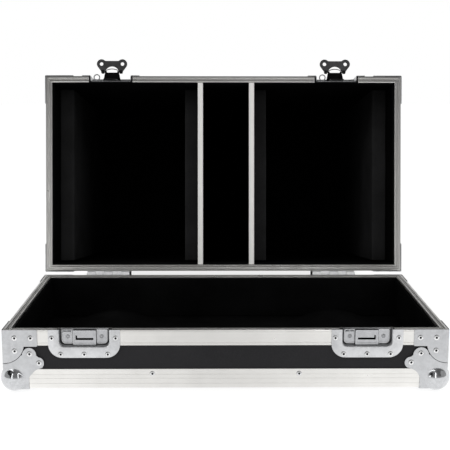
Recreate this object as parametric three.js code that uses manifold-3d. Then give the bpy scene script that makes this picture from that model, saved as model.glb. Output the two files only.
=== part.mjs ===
// A transport case with a shallow base and a hinged hood, lined with black foam.
// Units are millimetres, +X runs along the width, the front faces -Y and +Z is up.
// The hood lies open, and the origin is on the floor under the middle of the open case.
import * as THREE from "three";
import { mergeVertices } from "three/addons/utils/BufferGeometryUtils.js";
import Module from "manifold-3d";

const wasm = await Module();
wasm.setup();

// The whole case
const caseWidth = 700;
const caseDepth = 384;
const baseHeight = 96;
const hoodHeight = 640;
const seamGap = 0.5; // between the two rims when the case is closed
const seat = 0.3; // between pieces that rest on each other
const overrun = 5; // how far a cut runs past what it cuts

// Boards and metal edges
const boardThickness = 9;
const edgeMetal = 1.5;
const edgeLeg = 32;
const postLeg = 26;
const rimFlange = 25.5;
const rimInnerFlange = 4.5;
const rimWeb = 3;
const liningThickness = 5;

// Pressed steel hardware on the outside
const plateMetal = 1.2;
const bracketArm = 54;
const bracketArmHeight = 27;
const bracketDrop = 54;
const bracketDropWidth = 32.8;
const bracketRadius = 25.5;
const ballRadius = 23;
const ballInset = 15;
const ballPlateWidth = 43;
const ballPlateHeight = 41;
const ballNeck = 18; // height of the plate's straight outer edge
const ballHollowRadius = 22;
const hollowStart = Math.PI * 0.905; // angles where the hollow edge starts and ends
const hollowEnd = Math.PI * 0.55;
const upperLobe = { along: 42, up: 54.5, radius: 12.5 };
const lowerLobe = { along: 58.3, up: 42, radius: 9.4 };
const ballPlateGap = 0.6; // between a ball corner and the bracket above it

// Latches
const latchInset = 127.5; // from the side of the case to the middle of its latch
const dishWidth = 113;
const baseDishHeight = 45.5;
const hoodDishHeight = 72;
const dishCornerRadius = 22;
const recessWidth = 78;
const baseRecessHeight = 26.5;
const hoodRecessHeight = 53;
const recessRadius = 8;
const recessDepth = 9.5;
const strikeSide = 3; // from the recess's side to the strike plate
const strikeHeight = 23;
const strikeTop = 2; // from the rim down to the strike plate
const bridgeWidth = 36.5;
const bridgeMetal = 1.5;
const slotLength = 28;
const slotHeight = 2.8;
const slotTick = 4; // height of the slot's turned-up end
const slotTickWidth = 2.4;
const slotDrop = 14.2;
const padlockOffset = 27.5; // from the latch's middle to its padlock eye
const padlockDrop = 3;
const padlockTab = 13;
const padlockHole = 4.6;
const padlockEyeRadius = 6.5;
const padlockEyeHole = 4.8;
const padlockEyeRise = 8.9; // from the dish floor to the eye's middle
const tongueWidth = 26;
const tongueMetal = 1.5;
const tongueReach = 20; // past the hood's rim when released
const tongueTail = 14; // behind the hub
const tongueTravel = 8;
const tongueSway = 1.4; // room in front of the tongue in the strike's pocket
const hubDrop = 26; // from the rim to the hub
const hubRadius = 14;
const hubMetal = 3;
const hubStud = 4;
const hubWidthLow = 34;
const hubWidthHigh = 27;
const pivotRise = 12; // from the wall's face to the wing's pivot
const pivotRadius = 1.7;
const pivotClearance = 0.4;
const wingMetal = 2.6;
const wingLobeOffset = 20.8;
const wingLobeRise = 15.7;
const wingLobeRadius = 9.4;
const wingHole = 4;
const wingTop = 21;
const wingArchTop = 11.8;
const wingArchHalf = 10.5;
const wingLegOffset = 18;
const wingLegHalf = 3.4;
const wingEyeRadius = 3.6;
const wingEyeLength = 5.6;

// Hinges
const hingeInset = 128; // from the side of the case to the middle of its hinge
const hingeShift = -5.3; // how far both hinges sit off their even places
const hingeWidth = 84;
const hingeLeaf = 27;
const hingeMetal = 1.5;
const hingeAxisOut = 6; // from the back wall to the pin
const knuckleRadius = 4.5;
const hingePin = 1.9;
const hingePinClearance = 0.4;
const knuckleCount = 5;
const stopWidth = 3;
const stopRise = 5.2;
const stopShoulder = 3.4;
const stopDepth = 3;
const stopFoot = 10;

// Foam and dividers
const foamFloor = 20; // top of the floor foam between its humps
const foamBackGap = 55; // from the back lining to the floor foam
const humpCrown = 27;
const humpMargin = 22; // from the foam's side to the foot of its hump
const humpHalfWidth = 108;
const humpSteps = 14;
const dividerThickness = 7;
const leftDivider = -46;
const rightDivider = 55;
const capMetal = 1.3;
const capHeight = 11.5;
const capSet = 0.5; // from the rim plane down to the cap
const padThickness = 29;
const padSet = 70; // from the rim plane to the pads

// Carrying handles in the hood's end walls
const handleRecessWidth = 112;
const handleRecessHeight = 64;
const handleFlange = 14; // round the recess
const handleCornerRadius = 10;
const handleDrop = 300; // from the rim plane to the handle's middle
const gripSide = 7; // from the recess's side to the grip
const fingerGap = 9.5; // from the recess's end to the grip's bar
const gripBar = 10;
const gripDepth = 7;
const gripSet = 1.2; // from the wall's face to the grip
const gripPin = 2;
const gripPinClearance = 0.4;
const gripPivotSet = 12; // from the recess's end to the pin

// Smoothness of round forms
const ballSides = 16;
const roundSides = 14;
const smallSides = 10;
const arcSteps = 4;

// Colours and finishes
const finishes = {
  aluminium: { color: 0xcfcdc8, roughness: 0.38, metalness: 1 },
  zinc: { color: 0xb9bcc2, roughness: 0.3, metalness: 1 },
  blackSteel: { color: 0x17171a, roughness: 0.42, metalness: 0.3 },
  laminate: { color: 0x2c2c30, roughness: 0.5, metalness: 0 },
  foam: { color: 0x09090a, roughness: 0.95, metalness: 0 },
  grip: { color: 0x141416, roughness: 0.6, metalness: 0 },
};

// Sizes that follow from those above
const halfWidth = caseWidth / 2;
const halfDepth = caseDepth / 2;
const boardFace = edgeMetal + seat; // from the case's face to a board
const boardBack = boardFace + boardThickness;
const rimWidth = boardBack + seat + edgeMetal;
const liningFace = boardBack + seat;
const liningBack = liningFace + liningThickness;
const plateFace = seat + plateMetal; // how far outside hardware stands proud
const pocketBack = recessDepth + plateMetal;
const latchOffset = halfWidth - latchInset;
const hingeOffset = halfWidth - hingeInset;
const strikeWidth = recessWidth - 2 * strikeSide;
const handleWidth = handleRecessWidth + 2 * handleFlange;
const handleHeight = handleRecessHeight + 2 * handleFlange;
const gripWidth = handleRecessWidth - 2 * gripSide;
const gripHeight = handleRecessHeight - gripPivotSet - fingerGap + gripDepth / 2;
const hoodRim = baseHeight + seamGap;
const hoodTop = hoodRim + hoodHeight;
const hingeY = halfDepth + hingeAxisOut;
const capHalf = dividerThickness / 2 + seat + capMetal;
const capReach = halfDepth - rimWidth - seat;
const dividerPlaces = { left: leftDivider, right: rightDivider };

// The hood turns back until its far ball corners stand on the floor like the base's
const ballReach = seamGap + hoodHeight - ballInset;
const ballOut = hingeAxisOut + ballInset;
const ballDrop = baseHeight - ballInset;
const hoodTilt = Math.asin(ballDrop / Math.hypot(ballReach, ballOut)) + Math.atan(ballOut / ballReach);
const openAngle = Math.PI / 2 + hoodTilt;

const sideSigns = { left: -1, right: 1 };
const endSigns = { front: -1, back: 1 };

// Solids for cuts and joins
function solidOf(geometry) {
  const bare = geometry.clone();
  bare.deleteAttribute("normal");
  bare.deleteAttribute("uv");
  const merged = mergeVertices(bare);
  return new wasm.Manifold(new wasm.Mesh({
    numProp: 3,
    vertProperties: merged.attributes.position.array,
    triVerts: merged.index.array,
  }));
}

function geometryOf(solid) {
  const mesh = solid.getMesh();
  const geometry = new THREE.BufferGeometry();
  geometry.setAttribute("position", new THREE.BufferAttribute(mesh.vertProperties, 3));
  geometry.setIndex(new THREE.BufferAttribute(mesh.triVerts, 1));
  return geometry;
}

function joined(...solids) {
  return solids.reduce((sum, solid) => sum.add(solid));
}

// A box from its lowest to its highest corner
function block(x0, x1, y0, y1, z0, z1) {
  const geometry = new THREE.BoxGeometry(x1 - x0, y1 - y0, z1 - z0);
  geometry.translate((x0 + x1) / 2, (y0 + y1) / 2, (z0 + z1) / 2);
  return solidOf(geometry);
}

function extruded(outline, length) {
  const shape = outline instanceof THREE.Shape ? outline : new THREE.Shape(outline);
  return new THREE.ExtrudeGeometry(shape, { depth: length, bevelEnabled: false, curveSegments: arcSteps });
}

// An outline in X and Z, running from y0 to y1
function slabAlongY(outline, y0, y1) {
  const geometry = extruded(outline, y1 - y0);
  geometry.rotateX(Math.PI / 2);
  geometry.translate(0, y1, 0);
  return solidOf(geometry);
}

// An outline in Y and Z, running from x0 to x1
function slabAlongX(outline, x0, x1) {
  const geometry = extruded(outline, x1 - x0);
  geometry.rotateX(Math.PI / 2);
  geometry.rotateZ(Math.PI / 2);
  geometry.translate(x0, 0, 0);
  return solidOf(geometry);
}

// An outline in X and Y, running from z0 to z1
function slabAlongZ(outline, z0, z1) {
  const geometry = extruded(outline, z1 - z0);
  geometry.translate(0, 0, z0);
  return solidOf(geometry);
}

function rodAlongX(radius, x0, x1, y, z, sides = smallSides) {
  const geometry = new THREE.CylinderGeometry(radius, radius, x1 - x0, sides);
  geometry.rotateZ(Math.PI / 2);
  geometry.translate((x0 + x1) / 2, y, z);
  return solidOf(geometry);
}

function rodAlongY(radius, y0, y1, x, z, sides = smallSides) {
  const geometry = new THREE.CylinderGeometry(radius, radius, y1 - y0, sides);
  geometry.translate(x, (y0 + y1) / 2, z);
  return solidOf(geometry);
}

function rodAlongZ(radius, z0, z1, x, y, sides = smallSides) {
  const geometry = new THREE.CylinderGeometry(radius, radius, z1 - z0, sides);
  geometry.rotateX(Math.PI / 2);
  geometry.translate(x, y, (z0 + z1) / 2);
  return solidOf(geometry);
}

// The same solid mirrored by signs, then moved
function placed(geometry, signs, offset) {
  const copy = geometry.clone();
  const matrix = new THREE.Matrix4().makeScale(signs[0], signs[1], signs[2]);
  matrix.setPosition(offset[0], offset[1], offset[2]);
  copy.applyMatrix4(matrix);
  if (signs[0] * signs[1] * signs[2] < 0) {
    const index = copy.index.array;
    for (let i = 0; i < index.length; i += 3) {
      const first = index[i];
      index[i] = index[i + 1];
      index[i + 1] = first;
    }
  }
  return copy;
}

// Both halves are trays. In a tray's own frame the closed side lies at z = 0
// and the rim at its height. The hood is the same kind of tray turned over.
const base = {
  name: "base",
  height: baseHeight,
  dishHeight: baseDishHeight,
  recessHeight: baseRecessHeight,
  nodes: new THREE.Group(),
  place: (geometry) => geometry,
};
const hood = {
  name: "hood",
  height: hoodHeight,
  dishHeight: hoodDishHeight,
  recessHeight: hoodRecessHeight,
  nodes: new THREE.Group(),
  place: (geometry) => placed(geometry, [1, 1, -1], [0, 0, hoodTop]),
};

// The part of an outer corner that lies outside a ball of this radius. The corner's
// three faces are x = 0, y = 0 and z = 0, with the case towards their positive side.
function cornerPastBall(radius) {
  const octant = block(-overrun, ballInset, -overrun, ballInset, -overrun, ballInset);
  const ball = new THREE.SphereGeometry(radius, ballSides, ballSides / 2);
  ball.translate(ballInset, ballInset, ballInset);
  return octant.subtract(solidOf(ball));
}

// The four corners of the closed side, rounded off to fit inside the ball corners
function roundedOff(solid) {
  const past = geometryOf(cornerPastBall(ballRadius - plateMetal - seat));
  let rounded = solid;
  for (const endSign of Object.values(endSigns)) {
    for (const sideSign of Object.values(sideSigns)) {
      const at = [sideSign * halfWidth, endSign * halfDepth, 0];
      rounded = rounded.subtract(solidOf(placed(past, [-sideSign, -endSign, 1], at)));
    }
  }
  return rounded;
}

function addPiece(tray, name, finish, solidOrGeometry) {
  const geometry = solidOrGeometry.isBufferGeometry ? solidOrGeometry : geometryOf(solidOrGeometry);
  const mesh = new THREE.Mesh(tray.place(geometry), new THREE.MeshStandardMaterial(finishes[finish]));
  mesh.name = name;
  tray.nodes.add(mesh);
}

// The space that each latch dish takes out of the front board and the rim
function dishSpace(tray, across, depth) {
  const half = recessWidth / 2 + plateMetal + seat;
  const low = tray.height - tray.recessHeight - plateMetal - seat;
  return block(
    across - half, across + half,
    -halfDepth - overrun, -halfDepth + depth,
    low, tray.height + overrun,
  );
}

// Boards: a closing panel under four walls
function boards(tray) {
  const low = boardBack + seat;
  const high = tray.height - rimWeb - seat;
  const panel = block(
    -halfWidth + boardFace, halfWidth - boardFace,
    -halfDepth + boardFace, halfDepth - boardFace,
    boardFace, boardBack,
  );
  addPiece(tray, `${tray.name}_panel`, "laminate", roundedOff(panel));
  for (const [end, sign] of Object.entries(endSigns)) {
    const outer = sign * (halfDepth - boardFace);
    const inner = sign * (halfDepth - boardBack);
    let wall = block(
      -halfWidth + boardFace, halfWidth - boardFace,
      Math.min(outer, inner), Math.max(outer, inner),
      low, high,
    );
    if (end === "front") {
      for (const side of Object.values(sideSigns)) {
        wall = wall.subtract(dishSpace(tray, side * latchOffset, boardBack + overrun));
      }
    }
    addPiece(tray, `${tray.name}_${end}_wall`, "laminate", wall);
  }
  for (const [side, sign] of Object.entries(sideSigns)) {
    const outer = sign * (halfWidth - boardFace);
    const inner = sign * (halfWidth - boardBack);
    const reach = halfDepth - boardBack - seat;
    let wall = block(Math.min(outer, inner), Math.max(outer, inner), -reach, reach, low, high);
    if (tray === hood) {
      wall = wall.subtract(handleSpace(sign));
    }
    addPiece(tray, `${tray.name}_${side}_wall`, "laminate", wall);
  }
}

// The profile on the rim: a channel over the boards, notched for the latch dishes
function rim(tray) {
  const top = tray.height;
  const outer = block(-halfWidth, halfWidth, -halfDepth, halfDepth, top - rimFlange, top);
  const innerX = halfWidth - rimWidth;
  const innerY = halfDepth - rimWidth;
  const hole = block(-innerX, innerX, -innerY, innerY, top - rimFlange - overrun, top + overrun);
  const under = block(
    -halfWidth + edgeMetal, halfWidth - edgeMetal,
    -halfDepth + edgeMetal, halfDepth - edgeMetal,
    top - rimFlange - overrun, top - rimInnerFlange,
  );
  const slotOuter = block(
    -halfWidth + edgeMetal, halfWidth - edgeMetal,
    -halfDepth + edgeMetal, halfDepth - edgeMetal,
    top - rimFlange - overrun, top - rimWeb,
  );
  const slotInner = block(
    -innerX - edgeMetal, innerX + edgeMetal,
    -innerY - edgeMetal, innerY + edgeMetal,
    top - rimFlange - 2 * overrun, top + overrun,
  );
  let ring = outer.subtract(hole).subtract(under).subtract(slotOuter.subtract(slotInner));
  for (const sign of Object.values(sideSigns)) {
    ring = ring.subtract(dishSpace(tray, sign * latchOffset, pocketBack + seat));
  }
  addPiece(tray, `${tray.name}_rim`, "aluminium", ring);
}

// Angles round the closed side with a post up each corner
function edgeFrame(tray) {
  const postTop = tray.height - rimFlange - seat;
  const outer = block(-halfWidth, halfWidth, -halfDepth, halfDepth, 0, postTop);
  const inner = block(
    -halfWidth + edgeMetal, halfWidth - edgeMetal,
    -halfDepth + edgeMetal, halfDepth - edgeMetal,
    edgeMetal, postTop + overrun,
  );
  const floorHole = block(
    -halfWidth + edgeLeg, halfWidth - edgeLeg,
    -halfDepth + edgeLeg, halfDepth - edgeLeg,
    -overrun, edgeLeg,
  );
  const postX = halfWidth - postLeg;
  const postY = halfDepth - postLeg;
  const pastX = halfWidth + overrun;
  const pastY = halfDepth + overrun;
  const pastTop = postTop + overrun;
  const acrossWidth = block(-postX, postX, -pastY, pastY, edgeLeg, pastTop);
  const acrossDepth = block(-pastX, pastX, -postY, postY, edgeLeg, pastTop);
  const frame = outer.subtract(inner).subtract(floorHole).subtract(acrossWidth).subtract(acrossDepth);
  addPiece(tray, `${tray.name}_edge_frame`, "aluminium", roundedOff(frame));
}

// Corner hardware is drawn at such a corner too, and then mirrored to each place
function ballPlateOutline() {
  const hollowAlong = ballPlateWidth - ballHollowRadius * Math.cos(hollowStart);
  const hollowUp = ballNeck - ballHollowRadius * Math.sin(hollowStart);
  const shape = new THREE.Shape();
  shape.moveTo(-plateFace, -plateFace);
  shape.lineTo(ballPlateWidth, -plateFace);
  shape.absarc(hollowAlong, hollowUp, ballHollowRadius, hollowStart, hollowEnd, true);
  shape.absarc(lowerLobe.along, lowerLobe.up, lowerLobe.radius, -Math.PI / 3, Math.PI / 2, false);
  shape.absarc(upperLobe.along, upperLobe.up, upperLobe.radius, 0, Math.PI, false);
  shape.lineTo(upperLobe.along - upperLobe.radius, ballPlateHeight);
  shape.lineTo(-plateFace, ballPlateHeight);
  shape.closePath();
  return shape;
}

function bracketOutline(grown) {
  const shape = new THREE.Shape();
  const edge = -plateFace;
  const corner = bracketRadius + grown;
  shape.moveTo(edge, 0);
  shape.lineTo(bracketArm + grown, 0);
  shape.lineTo(bracketArm + grown, bracketArmHeight + grown);
  shape.lineTo(bracketDropWidth + grown, bracketArmHeight + grown);
  const roundAt = { along: bracketDropWidth - bracketRadius, up: bracketDrop - bracketRadius };
  shape.absarc(roundAt.along, roundAt.up, corner, 0, Math.PI / 2, false);
  shape.lineTo(edge, bracketDrop + grown);
  shape.closePath();
  return shape;
}

// The outline on the front face and again on the side face
function bothFaces(outline, outside, inside) {
  const front = slabAlongY(outline, outside, inside);
  const side = slabAlongX(outline, outside, inside);
  return front.add(side);
}

function cornerBody(size) {
  return block(-seat, size, -seat, size, -seat, size);
}

function ballCorner(tray) {
  const reach = bracketArm + ballPlateWidth;
  const sides = bothFaces(ballPlateOutline(), -plateFace, 0);
  const bottom = slabAlongZ(ballPlateOutline(), -plateFace, 0);
  const plates = sides.add(bottom).subtract(cornerPastBall(ballRadius));
  const ball = new THREE.SphereGeometry(ballRadius, ballSides, ballSides / 2);
  ball.translate(ballInset, ballInset, ballInset);
  const body = cornerBody(reach).subtract(cornerPastBall(ballRadius - plateMetal));
  const bracketSpace = bothFaces(bracketOutline(ballPlateGap), -ballRadius, overrun);
  const flipped = solidOf(placed(geometryOf(bracketSpace), [1, 1, -1], [0, 0, tray.height]));
  return plates.add(solidOf(ball)).subtract(body).subtract(flipped);
}

function bracket() {
  const reach = bracketArm + bracketDrop;
  const plates = bothFaces(bracketOutline(0), -plateFace, 0);
  const body = block(-seat, reach, -seat, reach, -overrun, reach);
  return plates.subtract(body);
}

function cornerHardware(tray) {
  const ball = geometryOf(ballCorner(tray));
  const plate = geometryOf(bracket());
  for (const [end, endSign] of Object.entries(endSigns)) {
    for (const [side, sideSign] of Object.entries(sideSigns)) {
      const at = [sideSign * halfWidth, endSign * halfDepth, 0];
      const signs = [-sideSign, -endSign, 1];
      addPiece(tray, `${tray.name}_ball_corner_${end}_${side}`, "zinc", placed(ball, signs, at));
      const rimAt = [at[0], at[1], tray.height];
      const rimSigns = [signs[0], signs[1], -1];
      addPiece(tray, `${tray.name}_corner_plate_${end}_${side}`, "zinc", placed(plate, rimSigns, rimAt));
    }
  }
}

// Foam glued inside the boards, as one tray, with notches for the dividers' caps
function lining(tray) {
  const outerX = halfWidth - liningFace;
  const outerY = halfDepth - liningFace;
  const innerX = halfWidth - liningBack;
  const innerY = halfDepth - liningBack;
  const top = tray.height - rimInnerFlange - seat;
  const outer = block(-outerX, outerX, -outerY, outerY, liningFace, top);
  const inner = block(-innerX, innerX, -innerY, innerY, liningBack, top + overrun);
  let foam = outer.subtract(inner);
  if (tray === hood) {
    const notchHalf = capHalf + seat;
    const notchReach = capReach + seat;
    const notchLow = tray.height - capSet - capHeight - seat;
    for (const across of Object.values(dividerPlaces)) {
      foam = foam.subtract(block(
        across - notchHalf, across + notchHalf, -notchReach, notchReach, notchLow, top + overrun,
      ));
    }
  }
  addPiece(tray, `${tray.name}_lining`, "foam", foam);
}

// A plate outline hanging from the rim with two round corners at its far side
function dishOutline(across, width, top, height, radius) {
  const half = width / 2;
  const low = top - height;
  const shape = new THREE.Shape();
  shape.moveTo(across - half, top);
  shape.lineTo(across - half, low + radius);
  shape.absarc(across - half + radius, low + radius, radius, Math.PI, Math.PI * 1.5, false);
  shape.absarc(across + half - radius, low + radius, radius, Math.PI * 1.5, Math.PI * 2, false);
  shape.lineTo(across + half, top);
  shape.closePath();
  return shape;
}

function latchDish(tray, across) {
  const top = tray.height;
  const face = -halfDepth - plateFace;
  const plateBack = -halfDepth - seat;
  const floor = -halfDepth + recessDepth;
  const plate = slabAlongY(
    dishOutline(across, dishWidth, top, tray.dishHeight, dishCornerRadius), face, plateBack,
  );
  const cupWidth = recessWidth + 2 * plateMetal;
  const cupHeight = tray.recessHeight + plateMetal;
  const cupOutline = dishOutline(across, cupWidth, top, cupHeight, recessRadius + plateMetal);
  const cup = slabAlongY(cupOutline, face, floor + plateMetal);
  const hollowHeight = tray.recessHeight + overrun;
  const hollowOutline = dishOutline(across, recessWidth, top + overrun, hollowHeight, recessRadius);
  const hollow = slabAlongY(hollowOutline, face - overrun, floor);
  return plate.add(cup).subtract(hollow);
}

// The strike: a plate with a raised bridge that leaves a pocket for the tongue,
// and a tab with a hole for a padlock
function strike(tray, across, slotEnd) {
  const floor = -halfDepth + recessDepth;
  const top = tray.height - strikeTop;
  const low = top - strikeHeight;
  const sink = plateMetal / 2;
  const tongueFront = floor - seat - tongueMetal - tongueSway;
  const bridgeFace = tongueFront - bridgeMetal;
  const half = strikeWidth / 2;
  const bridgeHalf = bridgeWidth / 2;
  const plate = block(across - half, across + half, floor - bridgeMetal, floor + sink, low, top);
  const bridge = block(across - bridgeHalf, across + bridgeHalf, bridgeFace, floor + sink, low, top);
  const pocket = block(
    across - bridgeHalf + bridgeMetal, across + bridgeHalf - bridgeMetal,
    tongueFront, floor,
    low - overrun, top + overrun,
  );
  const slotTop = tray.height - slotDrop;
  const slot = block(
    across - slotLength / 2, across + slotLength / 2,
    bridgeFace - overrun, tongueFront + seat,
    slotTop - slotHeight, slotTop,
  );
  const tipAcross = across + slotEnd * (slotLength - slotTickWidth) / 2;
  const slotTip = block(
    tipAcross - slotTickWidth / 2, tipAcross + slotTickWidth / 2,
    bridgeFace - overrun, tongueFront + seat,
    slotTop - slotHeight, slotTop + slotTick,
  );
  const tabAcross = across - padlockOffset;
  const tabTop = tray.height - padlockDrop;
  const tab = block(
    tabAcross - padlockTab / 2, tabAcross + padlockTab / 2,
    -halfDepth - seat, floor + sink,
    tabTop - bridgeMetal, tabTop,
  );
  const tabHole = rodAlongZ(
    padlockHole / 2, tabTop - bridgeMetal - overrun, tabTop + overrun,
    tabAcross, -halfDepth + padlockHole,
  );
  const open = bridge.subtract(pocket).subtract(slot).subtract(slotTip);
  return plate.subtract(pocket).add(open).add(tab.subtract(tabHole));
}

// The ring that a padlock goes through, standing on the hood's dish
function padlockEye(tray, across) {
  const floor = -halfDepth + recessDepth;
  const x = across - padlockOffset;
  const y = floor - padlockEyeRise;
  const top = tray.height - padlockDrop;
  const foot = block(
    x - padlockEyeHole / 2, x + padlockEyeHole / 2, y + padlockEyeHole, floor + plateMetal / 2,
    top - bridgeMetal, top,
  );
  const disc = rodAlongZ(padlockEyeRadius, top - bridgeMetal, top, x, y, roundSides);
  const hole = rodAlongZ(padlockEyeHole, top - bridgeMetal - overrun, top + overrun, x, y, roundSides);
  return disc.add(foot).subtract(hole);
}

function latchDishes() {
  for (const [side, sign] of Object.entries(sideSigns)) {
    const across = sign * latchOffset;
    const keeper = latchDish(base, across).add(strike(base, across, sign));
    addPiece(base, `base_latch_dish_${side}`, "zinc", keeper);
    const dish = latchDish(hood, across).add(padlockEye(hood, across));
    addPiece(hood, `hood_latch_dish_${side}`, "blackSteel", dish);
  }
}

// The tongue slides under the hub, whose stud runs in its slot
function latchTongue(across) {
  const floor = -halfDepth + recessDepth;
  const back = floor - seat;
  const front = back - tongueMetal;
  const hubZ = hood.height - hubDrop;
  const tail = hubZ - tongueTail;
  const tip = hood.height + tongueReach;
  const half = tongueWidth / 2;
  const plate = block(across - half, across + half, front, back, tail, tip);
  const slotHalf = hubStud + seat;
  const slotEnd = hubZ - seat;
  const slotStart = hubZ + tongueTravel + seat;
  const past = { front: front - overrun, back: back + overrun };
  const channel = block(across - slotHalf, across + slotHalf, past.front, past.back, slotEnd, slotStart);
  const ends = [slotEnd, slotStart].map(
    (z) => rodAlongY(slotHalf, past.front, past.back, across, z, roundSides),
  );
  return plate.subtract(joined(channel, ...ends));
}

function latchHub(across) {
  const floor = -halfDepth + recessDepth;
  const discBack = floor - seat - tongueMetal - seat;
  const discFront = discBack - hubMetal;
  const hubZ = hood.height - hubDrop;
  const pivotY = -halfDepth - pivotRise;
  const disc = rodAlongY(hubRadius, discFront, discBack, across, hubZ, roundSides);
  const stud = rodAlongY(hubStud, discFront, floor - seat, across, hubZ, roundSides);
  const halfLow = hubWidthLow / 2;
  const halfHigh = hubWidthHigh / 2;
  const upright = slabAlongZ([
    new THREE.Vector2(across - halfLow, discBack),
    new THREE.Vector2(across - halfLow, discFront),
    new THREE.Vector2(across - halfHigh, pivotY),
    new THREE.Vector2(across + halfHigh, pivotY),
    new THREE.Vector2(across + halfLow, discFront),
    new THREE.Vector2(across + halfLow, discBack),
  ], hubZ - hubMetal / 2, hubZ + hubMetal / 2);
  const pinHalf = wingLegOffset + wingEyeLength / 2 + seat;
  const pin = rodAlongX(pivotRadius, across - pinHalf, across + pinHalf, pivotY, hubZ);
  return joined(disc, stud, upright, pin);
}

// The butterfly wing, standing on the hub's pin
function latchWing(across) {
  const hubZ = hood.height - hubDrop;
  const pivotY = -halfDepth - pivotRise;
  const back = hubZ - wingMetal / 2;
  const front = hubZ + wingMetal / 2;
  const outward = (rise) => pivotY - rise;
  const legInside = wingLegOffset - wingLegHalf;
  const legOutside = wingLegOffset + wingLegHalf;
  const cheek = wingLobeOffset + wingLobeRadius * Math.SQRT1_2;
  const cheekRise = wingLobeRise - wingLobeRadius / 2;
  const body = slabAlongZ([
    new THREE.Vector2(across - legOutside, outward(0)),
    new THREE.Vector2(across - legInside, outward(0)),
    new THREE.Vector2(across + legInside, outward(0)),
    new THREE.Vector2(across + legOutside, outward(0)),
    new THREE.Vector2(across + cheek, outward(cheekRise)),
    new THREE.Vector2(across + wingLobeOffset, outward(wingTop)),
    new THREE.Vector2(across - wingLobeOffset, outward(wingTop)),
    new THREE.Vector2(across - cheek, outward(cheekRise)),
  ], back, front);
  const archShape = new THREE.Shape();
  archShape.moveTo(across - legInside, pivotY + overrun);
  archShape.lineTo(across - legInside, outward(0));
  archShape.quadraticCurveTo(across - wingArchHalf, outward(wingArchTop), across, outward(wingArchTop));
  archShape.quadraticCurveTo(across + wingArchHalf, outward(wingArchTop), across + legInside, outward(0));
  archShape.lineTo(across + legInside, pivotY + overrun);
  archShape.closePath();
  const arch = slabAlongZ(archShape, back - overrun, front + overrun);
  let wing = body.subtract(arch);
  for (const sign of Object.values(sideSigns)) {
    const lobeX = across + sign * wingLobeOffset;
    const legX = across + sign * wingLegOffset;
    wing = wing.add(rodAlongZ(wingLobeRadius, back, front, lobeX, outward(wingLobeRise), roundSides));
    wing = wing.subtract(rodAlongZ(
      wingHole, back - overrun, front + overrun, lobeX, outward(wingLobeRise), roundSides,
    ));
    const eyeHalf = wingEyeLength / 2;
    wing = wing.add(rodAlongX(wingEyeRadius, legX - eyeHalf, legX + eyeHalf, pivotY, hubZ));
  }
  const bore = rodAlongX(
    pivotRadius + pivotClearance, across - wingLobeOffset - wingLobeRadius,
    across + wingLobeOffset + wingLobeRadius, pivotY, hubZ,
  );
  return wing.subtract(bore);
}

function latches() {
  for (const [side, sign] of Object.entries(sideSigns)) {
    const across = sign * latchOffset;
    addPiece(hood, `latch_tongue_${side}`, "blackSteel", latchTongue(across));
    addPiece(hood, `latch_hub_${side}`, "blackSteel", latchHub(across));
    addPiece(hood, `latch_wing_${side}`, "blackSteel", latchWing(across));
  }
}

// A hinge leaf in a tray's frame: its knuckles lie on the pin at the rim
function hingeLeafSolid(tray, across, ownKnuckles, seamShift) {
  const axisZ = tray.height + seamShift;
  const half = hingeWidth / 2;
  const plate = block(
    across - half, across + half,
    halfDepth + seat, halfDepth + seat + hingeMetal,
    tray.height - hingeLeaf, axisZ,
  );
  const pitch = hingeWidth / knuckleCount;
  let leaf = plate;
  let spaces = null;
  for (let i = 0; i < knuckleCount; i += 1) {
    const from = across - half + i * pitch;
    const isOwn = i % 2 === ownKnuckles;
    const radius = isOwn ? knuckleRadius : knuckleRadius + seat;
    const inset = isOwn ? seat / 2 : -seat / 2;
    const drum = rodAlongX(radius, from + inset, from + pitch - inset, hingeY, axisZ, roundSides);
    if (isOwn) {
      leaf = leaf.add(drum);
    } else {
      spaces = spaces ? spaces.add(drum) : drum;
    }
  }
  return leaf.subtract(spaces);
}

function hingeStop(across, sign) {
  const outline = [
    new THREE.Vector2(-hingeAxisOut + seat, -stopFoot),
    new THREE.Vector2(-hingeAxisOut + seat + hingeMetal, -stopFoot),
    new THREE.Vector2(stopDepth, -stopShoulder),
    new THREE.Vector2(stopDepth, stopRise),
    new THREE.Vector2(-stopDepth / 2, stopRise),
    new THREE.Vector2(-hingeAxisOut + seat + hingeMetal, stopShoulder),
    new THREE.Vector2(-hingeAxisOut + seat + hingeMetal, 0),
    new THREE.Vector2(-hingeAxisOut + seat, 0),
  ].map((point) => new THREE.Vector2(point.x + hingeY, point.y + baseHeight));
  const inner = across - sign * hingeWidth / 2;
  const from = Math.min(inner, inner - sign * stopWidth);
  return slabAlongX(outline, from - seat, from + stopWidth + seat);
}

function hinges() {
  for (const [side, sign] of Object.entries(sideSigns)) {
    const across = sign * hingeOffset + hingeShift;
    const half = hingeWidth / 2;
    const pin = rodAlongX(hingePin, across - half, across + half, hingeY, baseHeight);
    const stop = hingeStop(across, sign);
    const lower = hingeLeafSolid(base, across, 0, 0).add(pin).add(stop);
    addPiece(base, `hinge_base_leaf_${side}`, "zinc", lower);
    const bore = rodAlongX(
      hingePin + hingePinClearance, across - half - overrun, across + half + overrun,
      hingeY, hoodHeight + seamGap,
    );
    const stopReach = stop.boundingBox();
    const stopRoom = block(
      stopReach.min[0] - seat, stopReach.max[0] + seat,
      halfDepth, hingeY + knuckleRadius + overrun,
      hoodHeight - hingeLeaf - overrun, hoodHeight + hingeLeaf,
    );
    const upper = hingeLeafSolid(hood, across, 1, seamGap).subtract(bore).subtract(stopRoom);
    addPiece(hood, `hinge_hood_leaf_${side}`, "zinc", upper);
  }
}

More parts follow.
